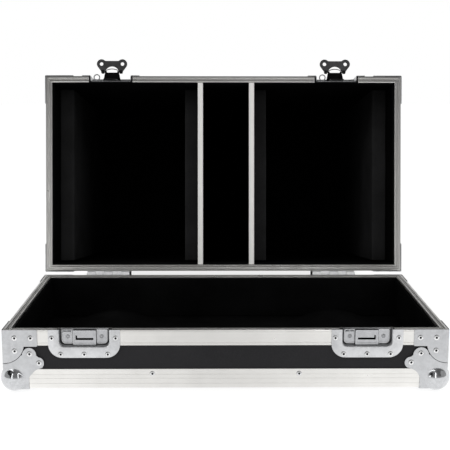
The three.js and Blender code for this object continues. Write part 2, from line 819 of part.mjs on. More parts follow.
// One foam block on the base's floor with a long hump under each load
function floorFoam() {
  const reachX = halfWidth - liningBack - seat;
  const reachY = halfDepth - liningBack - seat;
  const low = liningBack + seat;
  const humpOffset = reachX - humpMargin - humpHalfWidth;
  const outline = [new THREE.Vector2(-reachX, low), new THREE.Vector2(reachX, low)];
  for (const sign of [1, -1]) {
    if (sign > 0) {
      outline.push(new THREE.Vector2(reachX, foamFloor));
    }
    for (let i = 0; i <= humpSteps; i += 1) {
      const share = (2 * i) / humpSteps - 1;
      const rise = humpCrown * (1 + Math.cos(Math.PI * share)) / 2;
      outline.push(new THREE.Vector2(sign * humpOffset - share * humpHalfWidth, foamFloor + rise));
    }
  }
  outline.push(new THREE.Vector2(-reachX, foamFloor));
  addPiece(base, "base_floor_foam", "foam", slabAlongY(outline, -reachY, reachY - foamBackGap));
}

function dividers() {
  const reachY = halfDepth - liningBack - seat;
  const capTop = hood.height - capSet;
  const boardTop = capTop - capMetal - seat;
  const half = dividerThickness / 2;
  for (const [side, across] of Object.entries(dividerPlaces)) {
    const board = block(across - half, across + half, -reachY, reachY, liningBack + seat, boardTop);
    addPiece(hood, `divider_${side}`, "foam", board);
    const cap = block(across - capHalf, across + capHalf, -capReach, capReach, capTop - capHeight, capTop);
    const channel = block(
      across - half - seat, across + half + seat, -capReach - overrun, capReach + overrun,
      capTop - capHeight - overrun, capTop - capMetal,
    );
    addPiece(hood, `divider_cap_${side}`, "aluminium", cap.subtract(channel));
  }
}

function hoodPads() {
  const reachY = halfDepth - liningBack - seat;
  const wallX = halfWidth - liningBack - seat;
  const dividerGap = dividerThickness / 2 + seat;
  const low = liningBack + seat;
  const high = hood.height - padSet;
  const starts = {
    pad_left_outer: -wallX,
    pad_left_inner: leftDivider - dividerGap - padThickness,
    pad_right_inner: rightDivider + dividerGap,
    pad_right_outer: wallX - padThickness,
  };
  for (const [name, from] of Object.entries(starts)) {
    addPiece(hood, name, "foam", block(from, from + padThickness, -reachY, reachY, low, high));
  }
}

// Handle recess in the hood's end walls
function handleSpace(sign) {
  const outer = sign * (halfWidth + overrun);
  const inner = sign * (halfWidth - boardBack - seat - overrun);
  const half = handleRecessWidth / 2 + plateMetal + seat;
  const mid = hood.height - handleDrop;
  const rise = handleRecessHeight / 2 + plateMetal + seat;
  return block(Math.min(outer, inner), Math.max(outer, inner), -half, half, mid - rise, mid + rise);
}

function roundedRectangle(halfWide, halfTall, centreTall, radius) {
  const low = centreTall - halfTall;
  const high = centreTall + halfTall;
  const shape = new THREE.Shape();
  shape.absarc(-halfWide + radius, low + radius, radius, Math.PI, Math.PI * 1.5, false);
  shape.absarc(halfWide - radius, low + radius, radius, Math.PI * 1.5, Math.PI * 2, false);
  shape.absarc(halfWide - radius, high - radius, radius, 0, Math.PI / 2, false);
  shape.absarc(-halfWide + radius, high - radius, radius, Math.PI / 2, Math.PI, false);
  shape.closePath();
  return shape;
}

// Drawn for the left end wall, where the outside lies towards -X
function handleDish() {
  const mid = hood.height - handleDrop;
  const face = -halfWidth - plateFace;
  const floor = -halfWidth + recessDepth;
  const plate = slabAlongX(
    roundedRectangle(handleWidth / 2, handleHeight / 2, mid, handleCornerRadius),
    face, -halfWidth + boardFace - seat,
  );
  const halfWide = handleRecessWidth / 2;
  const halfTall = handleRecessHeight / 2;
  const cup = slabAlongX(
    roundedRectangle(halfWide + plateMetal, halfTall + plateMetal, mid, recessRadius + plateMetal),
    face, floor + plateMetal,
  );
  const hollow = slabAlongX(
    roundedRectangle(halfWide, halfTall, mid, recessRadius), face - overrun, floor,
  );
  const backing = block(
    -halfWidth - seat, -halfWidth + boardFace, -halfDepth, halfDepth,
    mid - handleHeight, mid + handleHeight,
  );
  const pinHalf = halfWide + plateMetal / 2;
  const pin = rodAlongY(gripPin, -pinHalf, pinHalf, gripAxisX(), gripAxisZ());
  return plate.subtract(backing).add(cup).subtract(hollow).add(pin);
}

function gripAxisX() {
  return -halfWidth + gripSet + gripDepth / 2;
}

function gripAxisZ() {
  return hood.height - handleDrop - handleRecessHeight / 2 + gripPivotSet;
}

function handleGrip() {
  const x0 = gripAxisX() - gripDepth / 2;
  const x1 = gripAxisX() + gripDepth / 2;
  const axis = gripAxisZ();
  const half = gripWidth / 2;
  const far = axis + gripHeight - gripDepth / 2;
  const outer = block(x0, x1, -half, half, axis, far);
  const inner = block(
    x0 - overrun, x1 + overrun, -half + gripBar, half - gripBar,
    axis - overrun, far - gripBar,
  );
  let grip = outer.subtract(inner);
  for (const sign of Object.values(sideSigns)) {
    const outside = sign * half;
    const inside = sign * (half - gripBar);
    grip = grip.add(rodAlongY(
      gripDepth / 2, Math.min(outside, inside), Math.max(outside, inside), gripAxisX(), axis, roundSides,
    ));
  }
  return grip.subtract(rodAlongY(
    gripPin + gripPinClearance, -half - overrun, half + overrun, gripAxisX(), axis,
  ));
}

function handles() {
  const dish = geometryOf(handleDish());
  const grip = geometryOf(handleGrip());
  for (const [side, sign] of Object.entries(sideSigns)) {
    const signs = [-sign, 1, 1];
    addPiece(hood, `handle_dish_${side}`, "zinc", placed(dish, signs, [0, 0, 0]));
    addPiece(hood, `handle_grip_${side}`, "grip", placed(grip, signs, [0, 0, 0]));
  }
}

for (const tray of [base, hood]) {
  boards(tray);
  rim(tray);
  edgeFrame(tray);
  cornerHardware(tray);
  lining(tray);
}
latchDishes();
latches();
hinges();
floorFoam();
dividers();
hoodPads();
handles();

// The hood turns back about the hinge pins
const swing = new THREE.Group();
swing.position.set(0, hingeY, baseHeight);
swing.rotation.x = -openAngle;
hood.nodes.position.set(0, -hingeY, -baseHeight);
swing.add(hood.nodes);

// The ball corners stand on z = 0, with the origin under the middle of the open case
const ballProud = ballRadius - ballInset;
const farBallOut = ballOut + caseDepth - 2 * ballInset;
const farBallY = hingeY - farBallOut * Math.cos(openAngle) + ballReach * Math.sin(openAngle);
const frontY = -halfDepth - ballProud;
const middleY = (frontY + farBallY + ballRadius) / 2;
const whole = new THREE.Group();
whole.position.set(0, -middleY, ballProud);
whole.add(base.nodes, swing);

const part = new THREE.Group();
part.add(whole);

export default part;
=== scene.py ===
"""Looks of an open transport case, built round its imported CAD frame.

Pieces are drawn in millimetres in a tray's own frame: the closed side lies at z = 0, the
rim at the tray's height, and the front faces -Y. One matrix puts each tray in its place.
"""

import math

import bmesh
import bpy
from mathutils import Matrix, Vector, noise


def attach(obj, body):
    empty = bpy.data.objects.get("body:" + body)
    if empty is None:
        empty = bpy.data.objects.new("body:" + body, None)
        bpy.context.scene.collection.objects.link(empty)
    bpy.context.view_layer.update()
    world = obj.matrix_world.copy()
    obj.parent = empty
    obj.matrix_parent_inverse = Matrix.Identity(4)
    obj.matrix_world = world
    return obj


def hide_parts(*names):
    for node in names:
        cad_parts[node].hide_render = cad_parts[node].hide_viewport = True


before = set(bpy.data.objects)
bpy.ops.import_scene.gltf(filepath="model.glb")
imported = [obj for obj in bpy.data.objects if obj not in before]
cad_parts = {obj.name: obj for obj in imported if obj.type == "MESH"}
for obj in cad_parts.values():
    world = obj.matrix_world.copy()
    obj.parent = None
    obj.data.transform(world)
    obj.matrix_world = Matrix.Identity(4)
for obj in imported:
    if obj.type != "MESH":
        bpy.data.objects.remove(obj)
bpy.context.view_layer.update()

MM = 0.001

# ---- sizes, as in the CAD
WIDTH, DEPTH, BASE_HEIGHT, HOOD_HEIGHT = 700.0, 384.0, 96.0, 640.0
SEAM, SEAT = 0.5, 0.3
HALF_W, HALF_D = WIDTH / 2, DEPTH / 2
METAL, PLATE = 1.5, 1.2
FACE = SEAT + PLATE                      # pressed steel stands this far out
LEG, POST, FLANGE, LIP = 32.0, 26.0, 25.5, 4.5
RIM_WIDTH = 12.6
LINING_FACE, LINING_BACK = 11.1, 16.1
BALL_R, BALL_IN = 23.0, 15.0
HINGE_OUT = 6.0
HINGE_Y = HALF_D + HINGE_OUT
LATCH_X, HINGE_X = HALF_W - 127.5, HALF_W - 128.0
HINGE_SHIFT, HINGE_HALF = -5.3, 42.0
RECESS_W, RECESS_D = 78.0, 9.5
DISH_W = 113.0
HUB_DROP, PIVOT_RISE = 26.0, 12.0
ARM, ARM_HEIGHT, DROP, DROP_ROUND = 54.0, 27.0, 54.0, 32.4
DROP_AT = 0.8                            # the middle of the corner plate's curved edge

ball_reach = SEAM + HOOD_HEIGHT - BALL_IN
ball_out = HINGE_OUT + BALL_IN
open_angle = (math.pi / 2 + math.asin((BASE_HEIGHT - BALL_IN) / math.hypot(ball_reach, ball_out))
              + math.atan(ball_out / ball_reach))
far_y = (HINGE_Y - (ball_out + DEPTH - 2 * BALL_IN) * math.cos(open_angle)
         + ball_reach * math.sin(open_angle))
middle_y = (-HALF_D - (BALL_R - BALL_IN) + far_y + BALL_R) / 2

to_row = Matrix.Scale(MM, 4) @ Matrix.Translation((0, -middle_y, BALL_R - BALL_IN))
turned_over = Matrix(((1, 0, 0, 0), (0, 1, 0, 0),
                      (0, 0, -1, BASE_HEIGHT + SEAM + HOOD_HEIGHT), (0, 0, 0, 1)))
swing = (Matrix.Translation((0, HINGE_Y, BASE_HEIGHT)) @ Matrix.Rotation(-open_angle, 4, "X")
         @ Matrix.Translation((0, -HINGE_Y, -BASE_HEIGHT)))


class Tray:
    def __init__(self, name, height, dish, recess, matrix):
        self.name, self.height, self.dish, self.recess = name, height, dish, recess
        self.matrix = matrix


BASE = Tray("base", BASE_HEIGHT, 45.5, 26.5, to_row)
HOOD = Tray("hood", HOOD_HEIGHT, 72.0, 53.0, to_row @ swing @ turned_over)
ENDS = {"front": -1, "back": 1}
SIDES = {"left": -1, "right": 1}


# ---- materials
class Look:
    """The node tree of a material or a world. What is fed to a socket is a number, a colour
    or another node's output."""

    def __init__(self, owner, kind="Material"):
        owner.use_nodes = True
        self.owner, self.tree = owner, owner.node_tree
        self.tree.nodes.clear()
        self.end = self.add("Output" + kind)

    def feed(self, socket, value):
        if hasattr(value, "is_linked"):
            self.tree.links.new(value, socket)
        else:
            socket.default_value = (*value, 1) if socket.type == "RGBA" else value

    def add(self, kind, **values):
        made = self.tree.nodes.new("ShaderNode" + kind)
        for key, value in values.items():
            if key in made.inputs:
                self.feed(made.inputs[key], value)
            else:
                setattr(made, key, value)
        return made

    def shade(self, output):
        self.feed(self.end.inputs["Surface"], output)
        return self.owner

    def ramp(self, source, *stops):
        """Two stops, each a place and a colour or a grey."""
        made = self.add("ValToRGB", Fac=source)
        for element, (at, tone) in zip(made.color_ramp.elements, stops):
            element.position = at
            element.color = (*(tone if hasattr(tone, "__len__") else (tone,) * 3), 1)
        return made.outputs["Color"]

    def mix(self, share, first, second):
        made = self.add("Mix", data_type="RGBA")
        for at, value in ((0, share), (6, first), (7, second)):
            self.feed(made.inputs[at], value)
        return made.outputs[2]

    def noise(self, size, detail=3.0, stretch=(1, 1, 1), coordinate="Object"):
        where = self.add("TexCoord").outputs[coordinate]
        mapping = self.add("Mapping", Vector=where, Scale=stretch)
        return self.add("TexNoise", Vector=mapping.outputs["Vector"], Scale=size, Detail=detail,
                        Roughness=0.6).outputs["Fac"]

    def attribute(self, name):
        return self.add("Attribute", attribute_name=name).outputs["Fac"]

    def calc(self, operation, *values):
        made = self.add("Math", operation=operation)
        for socket, value in zip(made.inputs, values):
            self.feed(socket, value)
        return made.outputs[0]

    def finish(self, colour, rough, height, distance, strength, metallic=0.0, specular=0.5):
        """One shader with its colour, its roughness and the relief of its face."""
        surface = self.add("BsdfPrincipled", Metallic=metallic, Roughness=rough)
        relief = self.add("Bump", Height=height, Distance=distance, Strength=strength)
        self.feed(surface.inputs["Base Color"], colour)
        self.feed(surface.inputs["Specular IOR Level"], specular)
        self.feed(surface.inputs["Normal"], relief.outputs["Normal"])
        return self.shade(surface.outputs["BSDF"])


def new_look(name):
    return Look(bpy.data.materials.new(name))


def times(colour, share):
    return tuple(c * share for c in colour)


def make_aluminium(name="aluminium", metallic=1.0, rough=0.0, lift=1.0):
    """Extruded aluminium: fine streaks along the profile, a few handling marks."""
    look = new_look(name)
    streaks = look.noise(1.0, 5, (0.003, 2.6, 1), "UV")
    fine = look.noise(1.0, 2, (0.05, 9.0, 1), "UV")
    marks = look.noise(3.0, 4, (9, 9, 9))
    low, high = times((0.75, 0.74, 0.717), lift), times((0.87, 0.86, 0.835), lift)
    light = look.ramp(streaks, (0.3, low), (0.7, high))
    dull = look.ramp(marks, (0.35, 0.0), (0.75, 0.35))
    colour = look.mix(dull, light, times(low, 0.95))
    satin = look.ramp(marks, (0.3, 0.27 + rough), (0.7, 0.4 + rough))
    return look.finish(colour, satin, fine, 0.0002, 0.25, metallic)


def make_zinc(name, tint, polished=False, rough=0.0, metallic=1.0):
    """Pressed and plated steel, satin on the flats, brighter on the balls, darkened by painted
    shade in its pits.
    """
    look = new_look(name)
    cloud, grain, blotch = look.noise(38.0, 5), look.noise(900.0), look.noise(150.0)
    scratch = look.noise(2.0, 3.0, (60, 700, 60))
    light = look.ramp(cloud, (0.3, tint), (0.7, times(tint, 1.14)))
    stain = look.ramp(blotch, (0.38, 0.0), (0.66, 0.55))
    worn = look.ramp(scratch, (0.62, 0.0), (0.8, 0.5))
    colour = look.mix(worn, look.mix(stain, light, times(tint, 0.84)), times(tint, 0.86))
    # Painted shade: near black where the mesh's shade attribute is set, in recess corners, rivet
    # holes and round rivet rims
    colour = look.mix(look.attribute("pit"), colour, (0.012, 0.012, 0.013))
    satin = look.ramp(cloud, (0.3, 0.3 + rough), (0.75, 0.42 + rough))
    if polished:
        satin = look.mix(look.attribute("ball"), satin, (0.1, 0.1, 0.1))
    return look.finish(colour, satin, grain, 0.00012, 0.2, metallic)


def make_black_steel(name, low, high, gloss=0.3):
    """Black powder coat, with a fine orange peel."""
    look = new_look(name)
    peel, cloud = look.noise(420.0), look.noise(60.0, 4)
    colour = look.ramp(cloud, (0.3, low), (0.75, (high, high, high * 1.04)))
    satin = look.ramp(cloud, (0.3, 0.32), (0.7, 0.48))
    return look.finish(colour, satin, peel, 0.0004, 0.25, specular=gloss)


def make_laminate():
    """Phenolic laminate with a fine pebbled face."""
    look = new_look("laminate")
    pebble, cloud = look.noise(620.0, 2), look.noise(16.0, 5)
    tone = look.ramp(cloud, (0.25, (0.0138, 0.0135, 0.0152)), (0.75, (0.020, 0.0196, 0.022)))
    speck = look.ramp(pebble, (0.42, 0.0), (0.72, 0.55))
    colour = look.mix(speck, tone, (0.034, 0.0333, 0.0365))
    satin = look.ramp(pebble, (0.3, 0.42), (0.7, 0.6))
    return look.finish(colour, satin, pebble, 0.0006, 0.35, specular=0.2)


def make_foam(name, low, high):
    """Closed-cell foam: tiny open cells on the cut face, darkened by painted shade in their
    hollows, and soft tonal patches.
    """
    look = new_look(name)
    cells = look.add("TexVoronoi", Vector=look.add("TexCoord").outputs["Object"], Scale=560.0)
    tone = look.ramp(look.noise(11.0, 5), (0.25, low), (0.75, (high, high, high * 1.03)))
    # Painted shade in the hollow of each cut cell
    pit = look.ramp(cells.outputs["Distance"], (0.0, 1.0), (0.35, 0.0))
    colour = look.mix(pit, tone, times((low, low, low), 0.4))
    return look.finish(colour, 0.95, cells.outputs["Distance"], 0.0008, 0.5, specular=0.03)


def make_grip():
    """Moulded rubber with fine ribs."""
    look = new_look("grip")
    ribs = look.add("TexWave", Vector=look.add("TexCoord").outputs["Object"], Scale=130.0,
                    Distortion=0.4, bands_direction="Y")
    cloud = look.noise(300.0)
    colour = look.ramp(cloud, (0.3, (0.008, 0.008, 0.0085)), (0.7, (0.017, 0.017, 0.018)))
    satin = look.ramp(cloud, (0.3, 0.5), (0.7, 0.68))
    return look.finish(colour, satin, ribs.outputs["Fac"], 0.0009, 0.35, specular=0.3)


aluminium = make_aluminium()
cap_aluminium = make_aluminium("cap_aluminium", 0.3, 0.15, 1.2)
# A darker copy of the same aluminium: painted shade on the hood's rim
hood_aluminium = make_aluminium("hood_aluminium", lift=0.87)
zinc = make_zinc("zinc", (0.535, 0.542, 0.555), True)
plain_zinc = make_zinc("plain_zinc", (0.625, 0.631, 0.643))
strike_zinc = make_zinc("strike_zinc", (0.5, 0.506, 0.522))
dull_zinc = make_zinc("dull_zinc", (0.82, 0.825, 0.835), rough=0.1, metallic=0.3)
rivet_steel = make_zinc("rivet_steel", (0.84, 0.845, 0.85), rough=0.06)
black_steel = make_black_steel("black_steel", 0.0018, 0.004)
# The hub's black, also used for the painted shade sheets in the corner gaps and behind the strike
# slots
hub_steel = make_black_steel("hub_steel", 0.0012, 0.003, 0.1)
wing_steel = make_black_steel("wing_steel", 0.038, 0.066)
laminate = make_laminate()
foam = make_foam("foam", 0.0016, 0.0045)
pad_foam = make_foam("pad_foam", 0.014, 0.03)
divider_board = make_foam("divider_board", 0.002, 0.005)
rubber = make_grip()


# ---- mesh tools
BEVEL_ANGLE = math.radians(38)


def made_piece(name, bm, material, tray, replaced=None, body=None, bevel=0.0, segments=2,
               sharp=None, recalculate=True):
    """Puts a mesh that was drawn in a tray's frame into the scene, as a piece of a body."""
    bmesh.ops.transform(bm, matrix=tray.matrix, verts=bm.verts)
    if recalculate:
        bmesh.ops.recalc_face_normals(bm, faces=bm.faces)
    elif tray.matrix.determinant() < 0:
        bmesh.ops.reverse_faces(bm, faces=bm.faces)
    mesh = bpy.data.meshes.new(name)
    bm.to_mesh(mesh)
    bm.free()
    mesh.shade_smooth()
    if sharp:
        mesh.set_sharp_from_angle(angle=math.radians(sharp))
    mesh.materials.append(material)
    piece = bpy.data.objects.new(name, mesh)
    bpy.context.scene.collection.objects.link(piece)
    if bevel:
        rounding = piece.modifiers.new("edges", "BEVEL")
        rounding.width, rounding.segments = bevel * MM, segments
        rounding.limit_method, rounding.angle_limit = "ANGLE", BEVEL_ANGLE
        rounding.harden_normals = rounding.use_clamp_overlap = True
    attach(piece, body or tray.name)
    if replaced:
        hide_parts(replaced)
    return piece


def smooth(value, low, high):
    share = max(0.0, min(1.0, (value - low) / (high - low)))
    return share * share * (3 - 2 * share)


def circle(cx, cy, radius, steps):
    return arc(cx, cy, radius, 0, 2 * math.pi, steps)[:-1]


def arc(cx, cy, radius, start, end, steps):
    return [(cx + radius * math.cos(start + (end - start) * i / steps),
             cy + radius * math.sin(start + (end - start) * i / steps)) for i in range(steps + 1)]


LEAST = 0.02                             # points of an outline lie further apart than this


def tidy(outline):
    kept = []
    for point in outline:
        if not kept or math.dist(point, kept[-1]) > LEAST:
            kept.append(point)
    if math.dist(kept[0], kept[-1]) < LEAST:
        kept.pop()
    return kept


def rectangle(x0, x1, z0, z1):
    return [(x0, z0), (x1, z0), (x1, z1), (x0, z1)]


def rounded_outline(corners, radii, steps=5):
    """A polygon with each corner rounded by its radius."""
    count, outline = len(corners), []
    radii = radii if hasattr(radii, "__len__") else [radii] * count
    for i in range(count):
        here = Vector(corners[i])
        back = (Vector(corners[i - 1]) - here).normalized()
        on = (Vector(corners[(i + 1) % count]) - here).normalized()
        radius = radii[i]
        if radius <= 0:
            outline.append(tuple(here))
            continue
        half = math.acos(max(-1, min(1, back.dot(on)))) / 2
        reach = radius / math.tan(half)
        centre = here + (back + on).normalized() * (radius / math.sin(half))
        first, last = here + back * reach, here + on * reach
        a0 = math.atan2(first.y - centre.y, first.x - centre.x)
        a1 = math.atan2(last.y - centre.y, last.x - centre.x)
        a1 = a0 + math.remainder(a1 - a0, 2 * math.pi)
        outline += arc(centre.x, centre.y, radius, a0, a1, steps)
    return tidy(outline)


def filled(bm, loops, place):
    """Faces between an outer loop and its holes. place turns a 2-D point into a 3-D one."""
    edges = []
    for loop in loops:
        ring = [bm.verts.new(place(*point)) for point in loop]
        edges += [bm.edges.new((ring[i], ring[(i + 1) % len(ring)])) for i in range(len(ring))]
    if len(loops) == 1:
        return [bm.faces.new(ring)]
    before = set(bm.faces)
    bmesh.ops.triangle_fill(bm, use_beauty=True, use_dissolve=False, edges=edges)
    return [f for f in bm.faces if f not in before]


def plate(bm, loops, place, low, high):
    """A flat plate: place(a, b, h) with h from low to high."""
    part = bmesh.new()
    faces = filled(part, loops, lambda a, b: place(a, b, low))
    lift = Vector(place(0, 0, high)) - Vector(place(0, 0, low))
    made = bmesh.ops.extrude_face_region(part, geom=faces)
    moved = [g for g in made["geom"] if isinstance(g, bmesh.types.BMVert)]
    bmesh.ops.translate(part, vec=lift, verts=moved)
    bmesh.ops.recalc_face_normals(part, faces=part.faces)
    merge(bm, part)


def merge(bm, part):
    mesh = bpy.data.meshes.new("part")
    part.to_mesh(mesh)
    part.free()
    bm.from_mesh(mesh)
    bpy.data.meshes.remove(mesh)


def lathe(bm, profile, centre, axis, sides=20):
    """A profile of (radius, height) points turned about an axis."""
    axis = Vector(axis).normalized()
    helper = Vector((1, 0, 0)) if abs(axis.x) < 0.9 else Vector((0, 1, 0))
    across = axis.cross(helper).normalized()
    other = axis.cross(across)
    centre = Vector(centre)
    turns = [2 * math.pi * i / sides for i in range(sides)]
    rings = []
    for radius, height in profile:
        middle = centre + axis * height
        rings.append([bm.verts.new(middle + across * radius * math.cos(t)
                                   + other * radius * math.sin(t)) for t in turns]
                     if radius else [bm.verts.new(middle)])
    for one, two in zip(rings, rings[1:]):
        for i in range(sides):
            j = (i + 1) % sides
            a, b = one[i % len(one)], one[j % len(one)]
            c, d = two[j % len(two)], two[i % len(two)]
            corner = list(dict.fromkeys((a, b, c, d)))
            if len(corner) > 2:
                bm.faces.new(corner)
    return rings


def rod(bm, radius, centre_low, centre_high, sides=20, ease=0.4):
    low, high = Vector(centre_low), Vector(centre_high)
    length = (high - low).length
    profile = [(0, 0), (radius - ease, 0), (radius, ease), (radius, length - ease),
               (radius - ease, length), (0, length)]
    lathe(bm, profile, low, high - low, sides)


def box(bm, low, high):
    made = bmesh.ops.create_cube(bm, size=1.0)
    size = Vector(high) - Vector(low)
    middle = (Vector(high) + Vector(low)) / 2
    for vert in made["verts"]:
        vert.co = Vector((vert.co.x * size.x, vert.co.y * size.y, vert.co.z * size.z)) + middle


def thicken(bm, thickness):
    """Gives an open sheet a back, thickness behind its normals."""
    bm.normal_update()
    verts, faces = list(bm.verts), list(bm.faces)
    rims = [(loop.vert, loop.link_loop_next.vert) for e in bm.edges if e.is_boundary
            for loop in e.link_loops]
    inner = {v: bm.verts.new(v.co - v.normal * thickness) for v in verts}
    for face in faces:
        bm.faces.new([inner[v] for v in reversed(face.verts)])
    for first, second in rims:
        bm.faces.new((second, first, inner[first], inner[second]))


def extrusion(bm, profile, place, start, end, mitre_start=0.0, mitre_end=0.0):
    """A closed profile of (u, v) points along s. place(s, u, v) gives a point; a mitre moves
    an end by its value for each unit of u. UVs run along s and round the profile."""
    layer = bm.loops.layers.uv.verify()
    first, last, along = [], [], [0.0]
    for i, (u, v) in enumerate(profile):
        first.append(bm.verts.new(place(start + mitre_start * u, u, v)))
        last.append(bm.verts.new(place(end - mitre_end * u, u, v)))
        along.append(along[-1] + math.dist(profile[i], profile[(i + 1) % len(profile)]))
    count = len(profile)
    for i in range(count):
        j = (i + 1) % count
        face = bm.faces.new((first[i], first[j], last[j], last[i]))
        values = ((start, along[i]), (start, along[i + 1]), (end, along[i + 1]), (end, along[i]))
        for loop, value in zip(face.loops, values):
            loop[layer].uv = value
    bm.faces.new(list(reversed(first)))
    bm.faces.new(last)


def bridged(bm, rows, closed=True):
    """Faces between rows of the same number of points."""
    for one, two in zip(rows, rows[1:]):
        for i in range(len(one) if closed else len(one) - 1):
            j = (i + 1) % len(one)
            bm.faces.new((one[i], one[j], two[j], two[i]))


# From a recess's edge to its floor: how far outside its outline, how deep, and how much painted
# shade
SHADED_LINE = (0, 0.9, 0.2)
RECESS_ROWS = ((2.6, -1.5, 0), (1.2, -1.3, 0), (0.4, -0.6, 0), (0, 0.6, 0), SHADED_LINE,
               (-0.3, RECESS_D - 2.2, 0.4), (-0.9, RECESS_D - 0.7, 0.7), (-2.2, RECESS_D, 0.55))
# The same rows without painted shade, for the handles
UNSHADED_ROWS = [(outset, depth, 0) for outset, depth, shading in RECESS_ROWS
              if (outset, depth, shading) != SHADED_LINE]


def pressed(flange, recess, back, rows, curve, place, closed, outward):
    """A pressed dish: a flange with a rounded lip, and a recess with a floor. curve gives an
    outline from its sizes, and back is where the lip starts."""
    bm = bmesh.new()
    pit = bm.verts.layers.float.new("pit")
    sheet = []
    lip = ((0, back, 0), (0, -PLATE, 0), (-0.4, -FACE, 0))
    for sizes, steps in ((flange, lip), (recess, rows)):
        for outset, depth, shading in steps:
            line = curve(*[size + outset for size in sizes])
            sheet.append([bm.verts.new(place(a, b, depth)) for a, b in line])
            # Each row's painted shade, darker towards the recess floor
            for vert in sheet[-1]:
                vert[pit] = shading
    bridged(bm, sheet, closed)
    bm.faces.new(sheet[-1])
    bmesh.ops.recalc_face_normals(bm, faces=bm.faces)
    bm.normal_update()
    if sum(f.normal.dot(outward) * f.calc_area() for f in bm.faces) < 0:
        bmesh.ops.reverse_faces(bm, faces=bm.faces)
    thicken(bm, PLATE)
    return bm


# ---- rivets
# Each kind's line from the centre to the rim, as shares of its size: reach, height, painted shade
RIVETS = {
    "bright": ([(0, 0.04, 1), (0.34, 0.04, 1), (0.4, 0.17, 1), (0.43, 0.22, 0), (0.53, 0.25, 0),
                (0.7, 0.2, 0), (0.86, 0.1, 0), (0.93, 0.03, 0.25), (1.06, 0.02, 0.3),
                (1.08, -0.1, 0.3)], rivet_steel),
    "dull": ([(0, 0.12, 0), (0.26, 0.12, 0.05), (0.34, 0.06, 0.3), (0.44, 0.12, 0.35),
              (0.6, 0.12, 0.3), (0.72, 0.04, 0.55), (0.8, 0.05, 0.3), (0.9, 0.02, 0),
              (1.0, -0.1, 0)], strike_zinc),
}
EDGE_RIVET, CORNER_RIVET, DISH_RIVET, STRIKE_RIVET, HUB_RIVET = 4.0, 4.3, 4.1, 3.8, 2.6
HANDLE_RIVET, LEAF_RIVET = 4.0, 3.8
RIM_SHADE = 0.75                          # painted shade on the upper left side of the ring where a rivet meets its plate
rivets = {}


def rivet(tray, at, normal, size, body=None, kind="bright"):
    key = (body or tray.name, tray, kind)
    rivets.setdefault(key, []).append((Vector(at), Vector(normal), size))


def make_rivets():
    for (body, tray, kind), places in rivets.items():
        shape, material = RIVETS[kind]
        bm = bmesh.new()
        for at, normal, size in places:
            part = bmesh.new()
            pit = part.verts.layers.float.new("pit")
            rings = lathe(part, [(r * size, h * size) for r, h, _ in shape], at, normal)
            # depth here is the table's painted shade; the rim gets more painted shade on its upper
            # left side
            for ring, (reach, _, depth) in zip(rings, shape):
                for vert in ring:
                    away = vert.co - at
                    upper = smooth(away.z - away.x, 0.2 * size, 1.2 * size)
                    vert[pit] = max(depth, RIM_SHADE * upper * (reach > 0.9))
            merge(bm, part)
        made_piece(f"rivets_{kind}_{body}", bm, material, tray, body=body, sharp=50,
                   recalculate=False)


# ---- rims and edge angles
def side_frames():
    """For each side: its name, a function of (s, u, v), its length and its inward direction."""
    spans = {
        "front": ((-HALF_W, -HALF_D), (1, 0), (0, 1), WIDTH),
        "right": ((HALF_W, -HALF_D), (0, 1), (-1, 0), DEPTH),
        "back": ((HALF_W, HALF_D), (-1, 0), (0, -1), WIDTH),
        "left": ((-HALF_W, HALF_D), (0, -1), (1, 0), DEPTH),
    }
    for name, (start, along, inward, length) in spans.items():
        def place(s, u, v, start=start, along=along, inward=inward):
            return (start[0] + along[0] * s + inward[0] * u,
                    start[1] + along[1] * s + inward[1] * u, v)
        yield name, place, length, inward


RIM_PROFILE = [
    (0, -FLANGE), (0, -21.9), (0.4, -21.6), (0.4, -21.0), (0, -20.7), (0, -3.6), (0.35, -3.35),
    (0.35, -2.85), (0, -2.6), (0, -0.9), (0.25, -0.3), (0.8, 0), (4.1, 0), (4.6, -0.15),
    (4.9, -0.6), (5.2, -0.9), (6.9, -0.9), (7.1, -2.2), (7.9, -2.2), (8.1, -0.9), (8.5, -0.4),
    (9.3, -0.08), (10.3, 0), (11.3, -0.1), (12.0, -0.45), (12.45, -0.95), (RIM_WIDTH, -1.6),
    (RIM_WIDTH, -LIP), (LINING_FACE, -LIP), (LINING_FACE, -3), (METAL, -3), (METAL, -FLANGE),
]
LIP_PROFILE = [(LINING_FACE, -LIP), (LINING_FACE, -0.3), (11.4, 0), (12.1, 0),
               (RIM_WIDTH, -0.5), (RIM_WIDTH, -LIP)]
MITRE_GAP = 0.08                         # between the rims that meet at a corner
NOTCH_GAP = 2.5                          # from a latch's recess to the cut rim
SHORT_LIP = -3.1                         # the base's back rim shows a shorter lip


def rim(tray):
    bm = bmesh.new()
    lips = bm if tray is BASE else bmesh.new()
    half = RECESS_W / 2 + FACE + NOTCH_GAP
    cuts = [HALF_W + across + sign * half for across in (-LATCH_X, LATCH_X) for sign in (-1, 1)]
    for name, place, length, _ in side_frames():
        def at(s, u, v, place=place):
            return place(s, u, tray.height + v)
        if name != "front":
            lip = SHORT_LIP if tray is BASE and name == "back" else -LIP
            profile = [(u, lip if v == -LIP else v) for u, v in RIM_PROFILE]
            extrusion(bm, profile, at, MITRE_GAP, length - MITRE_GAP, 1, 1)
            continue
        extrusion(bm, RIM_PROFILE, at, MITRE_GAP, cuts[0], 1, 0)
        extrusion(bm, RIM_PROFILE, at, cuts[1], cuts[2])
        extrusion(bm, RIM_PROFILE, at, cuts[3], length - MITRE_GAP, 0, 1)
        extrusion(lips, LIP_PROFILE, at, cuts[0], cuts[1])
        extrusion(lips, LIP_PROFILE, at, cuts[2], cuts[3])
    made_piece(f"rim_{tray.name}", bm, aluminium if tray is BASE else hood_aluminium, tray,
               f"{tray.name}_rim", sharp=30)
    if tray is HOOD:
        made_piece("rim_hood_lips", lips, black_steel, tray, sharp=30)


GROOVE = 0.12                            # depth of the edge angles' grooves


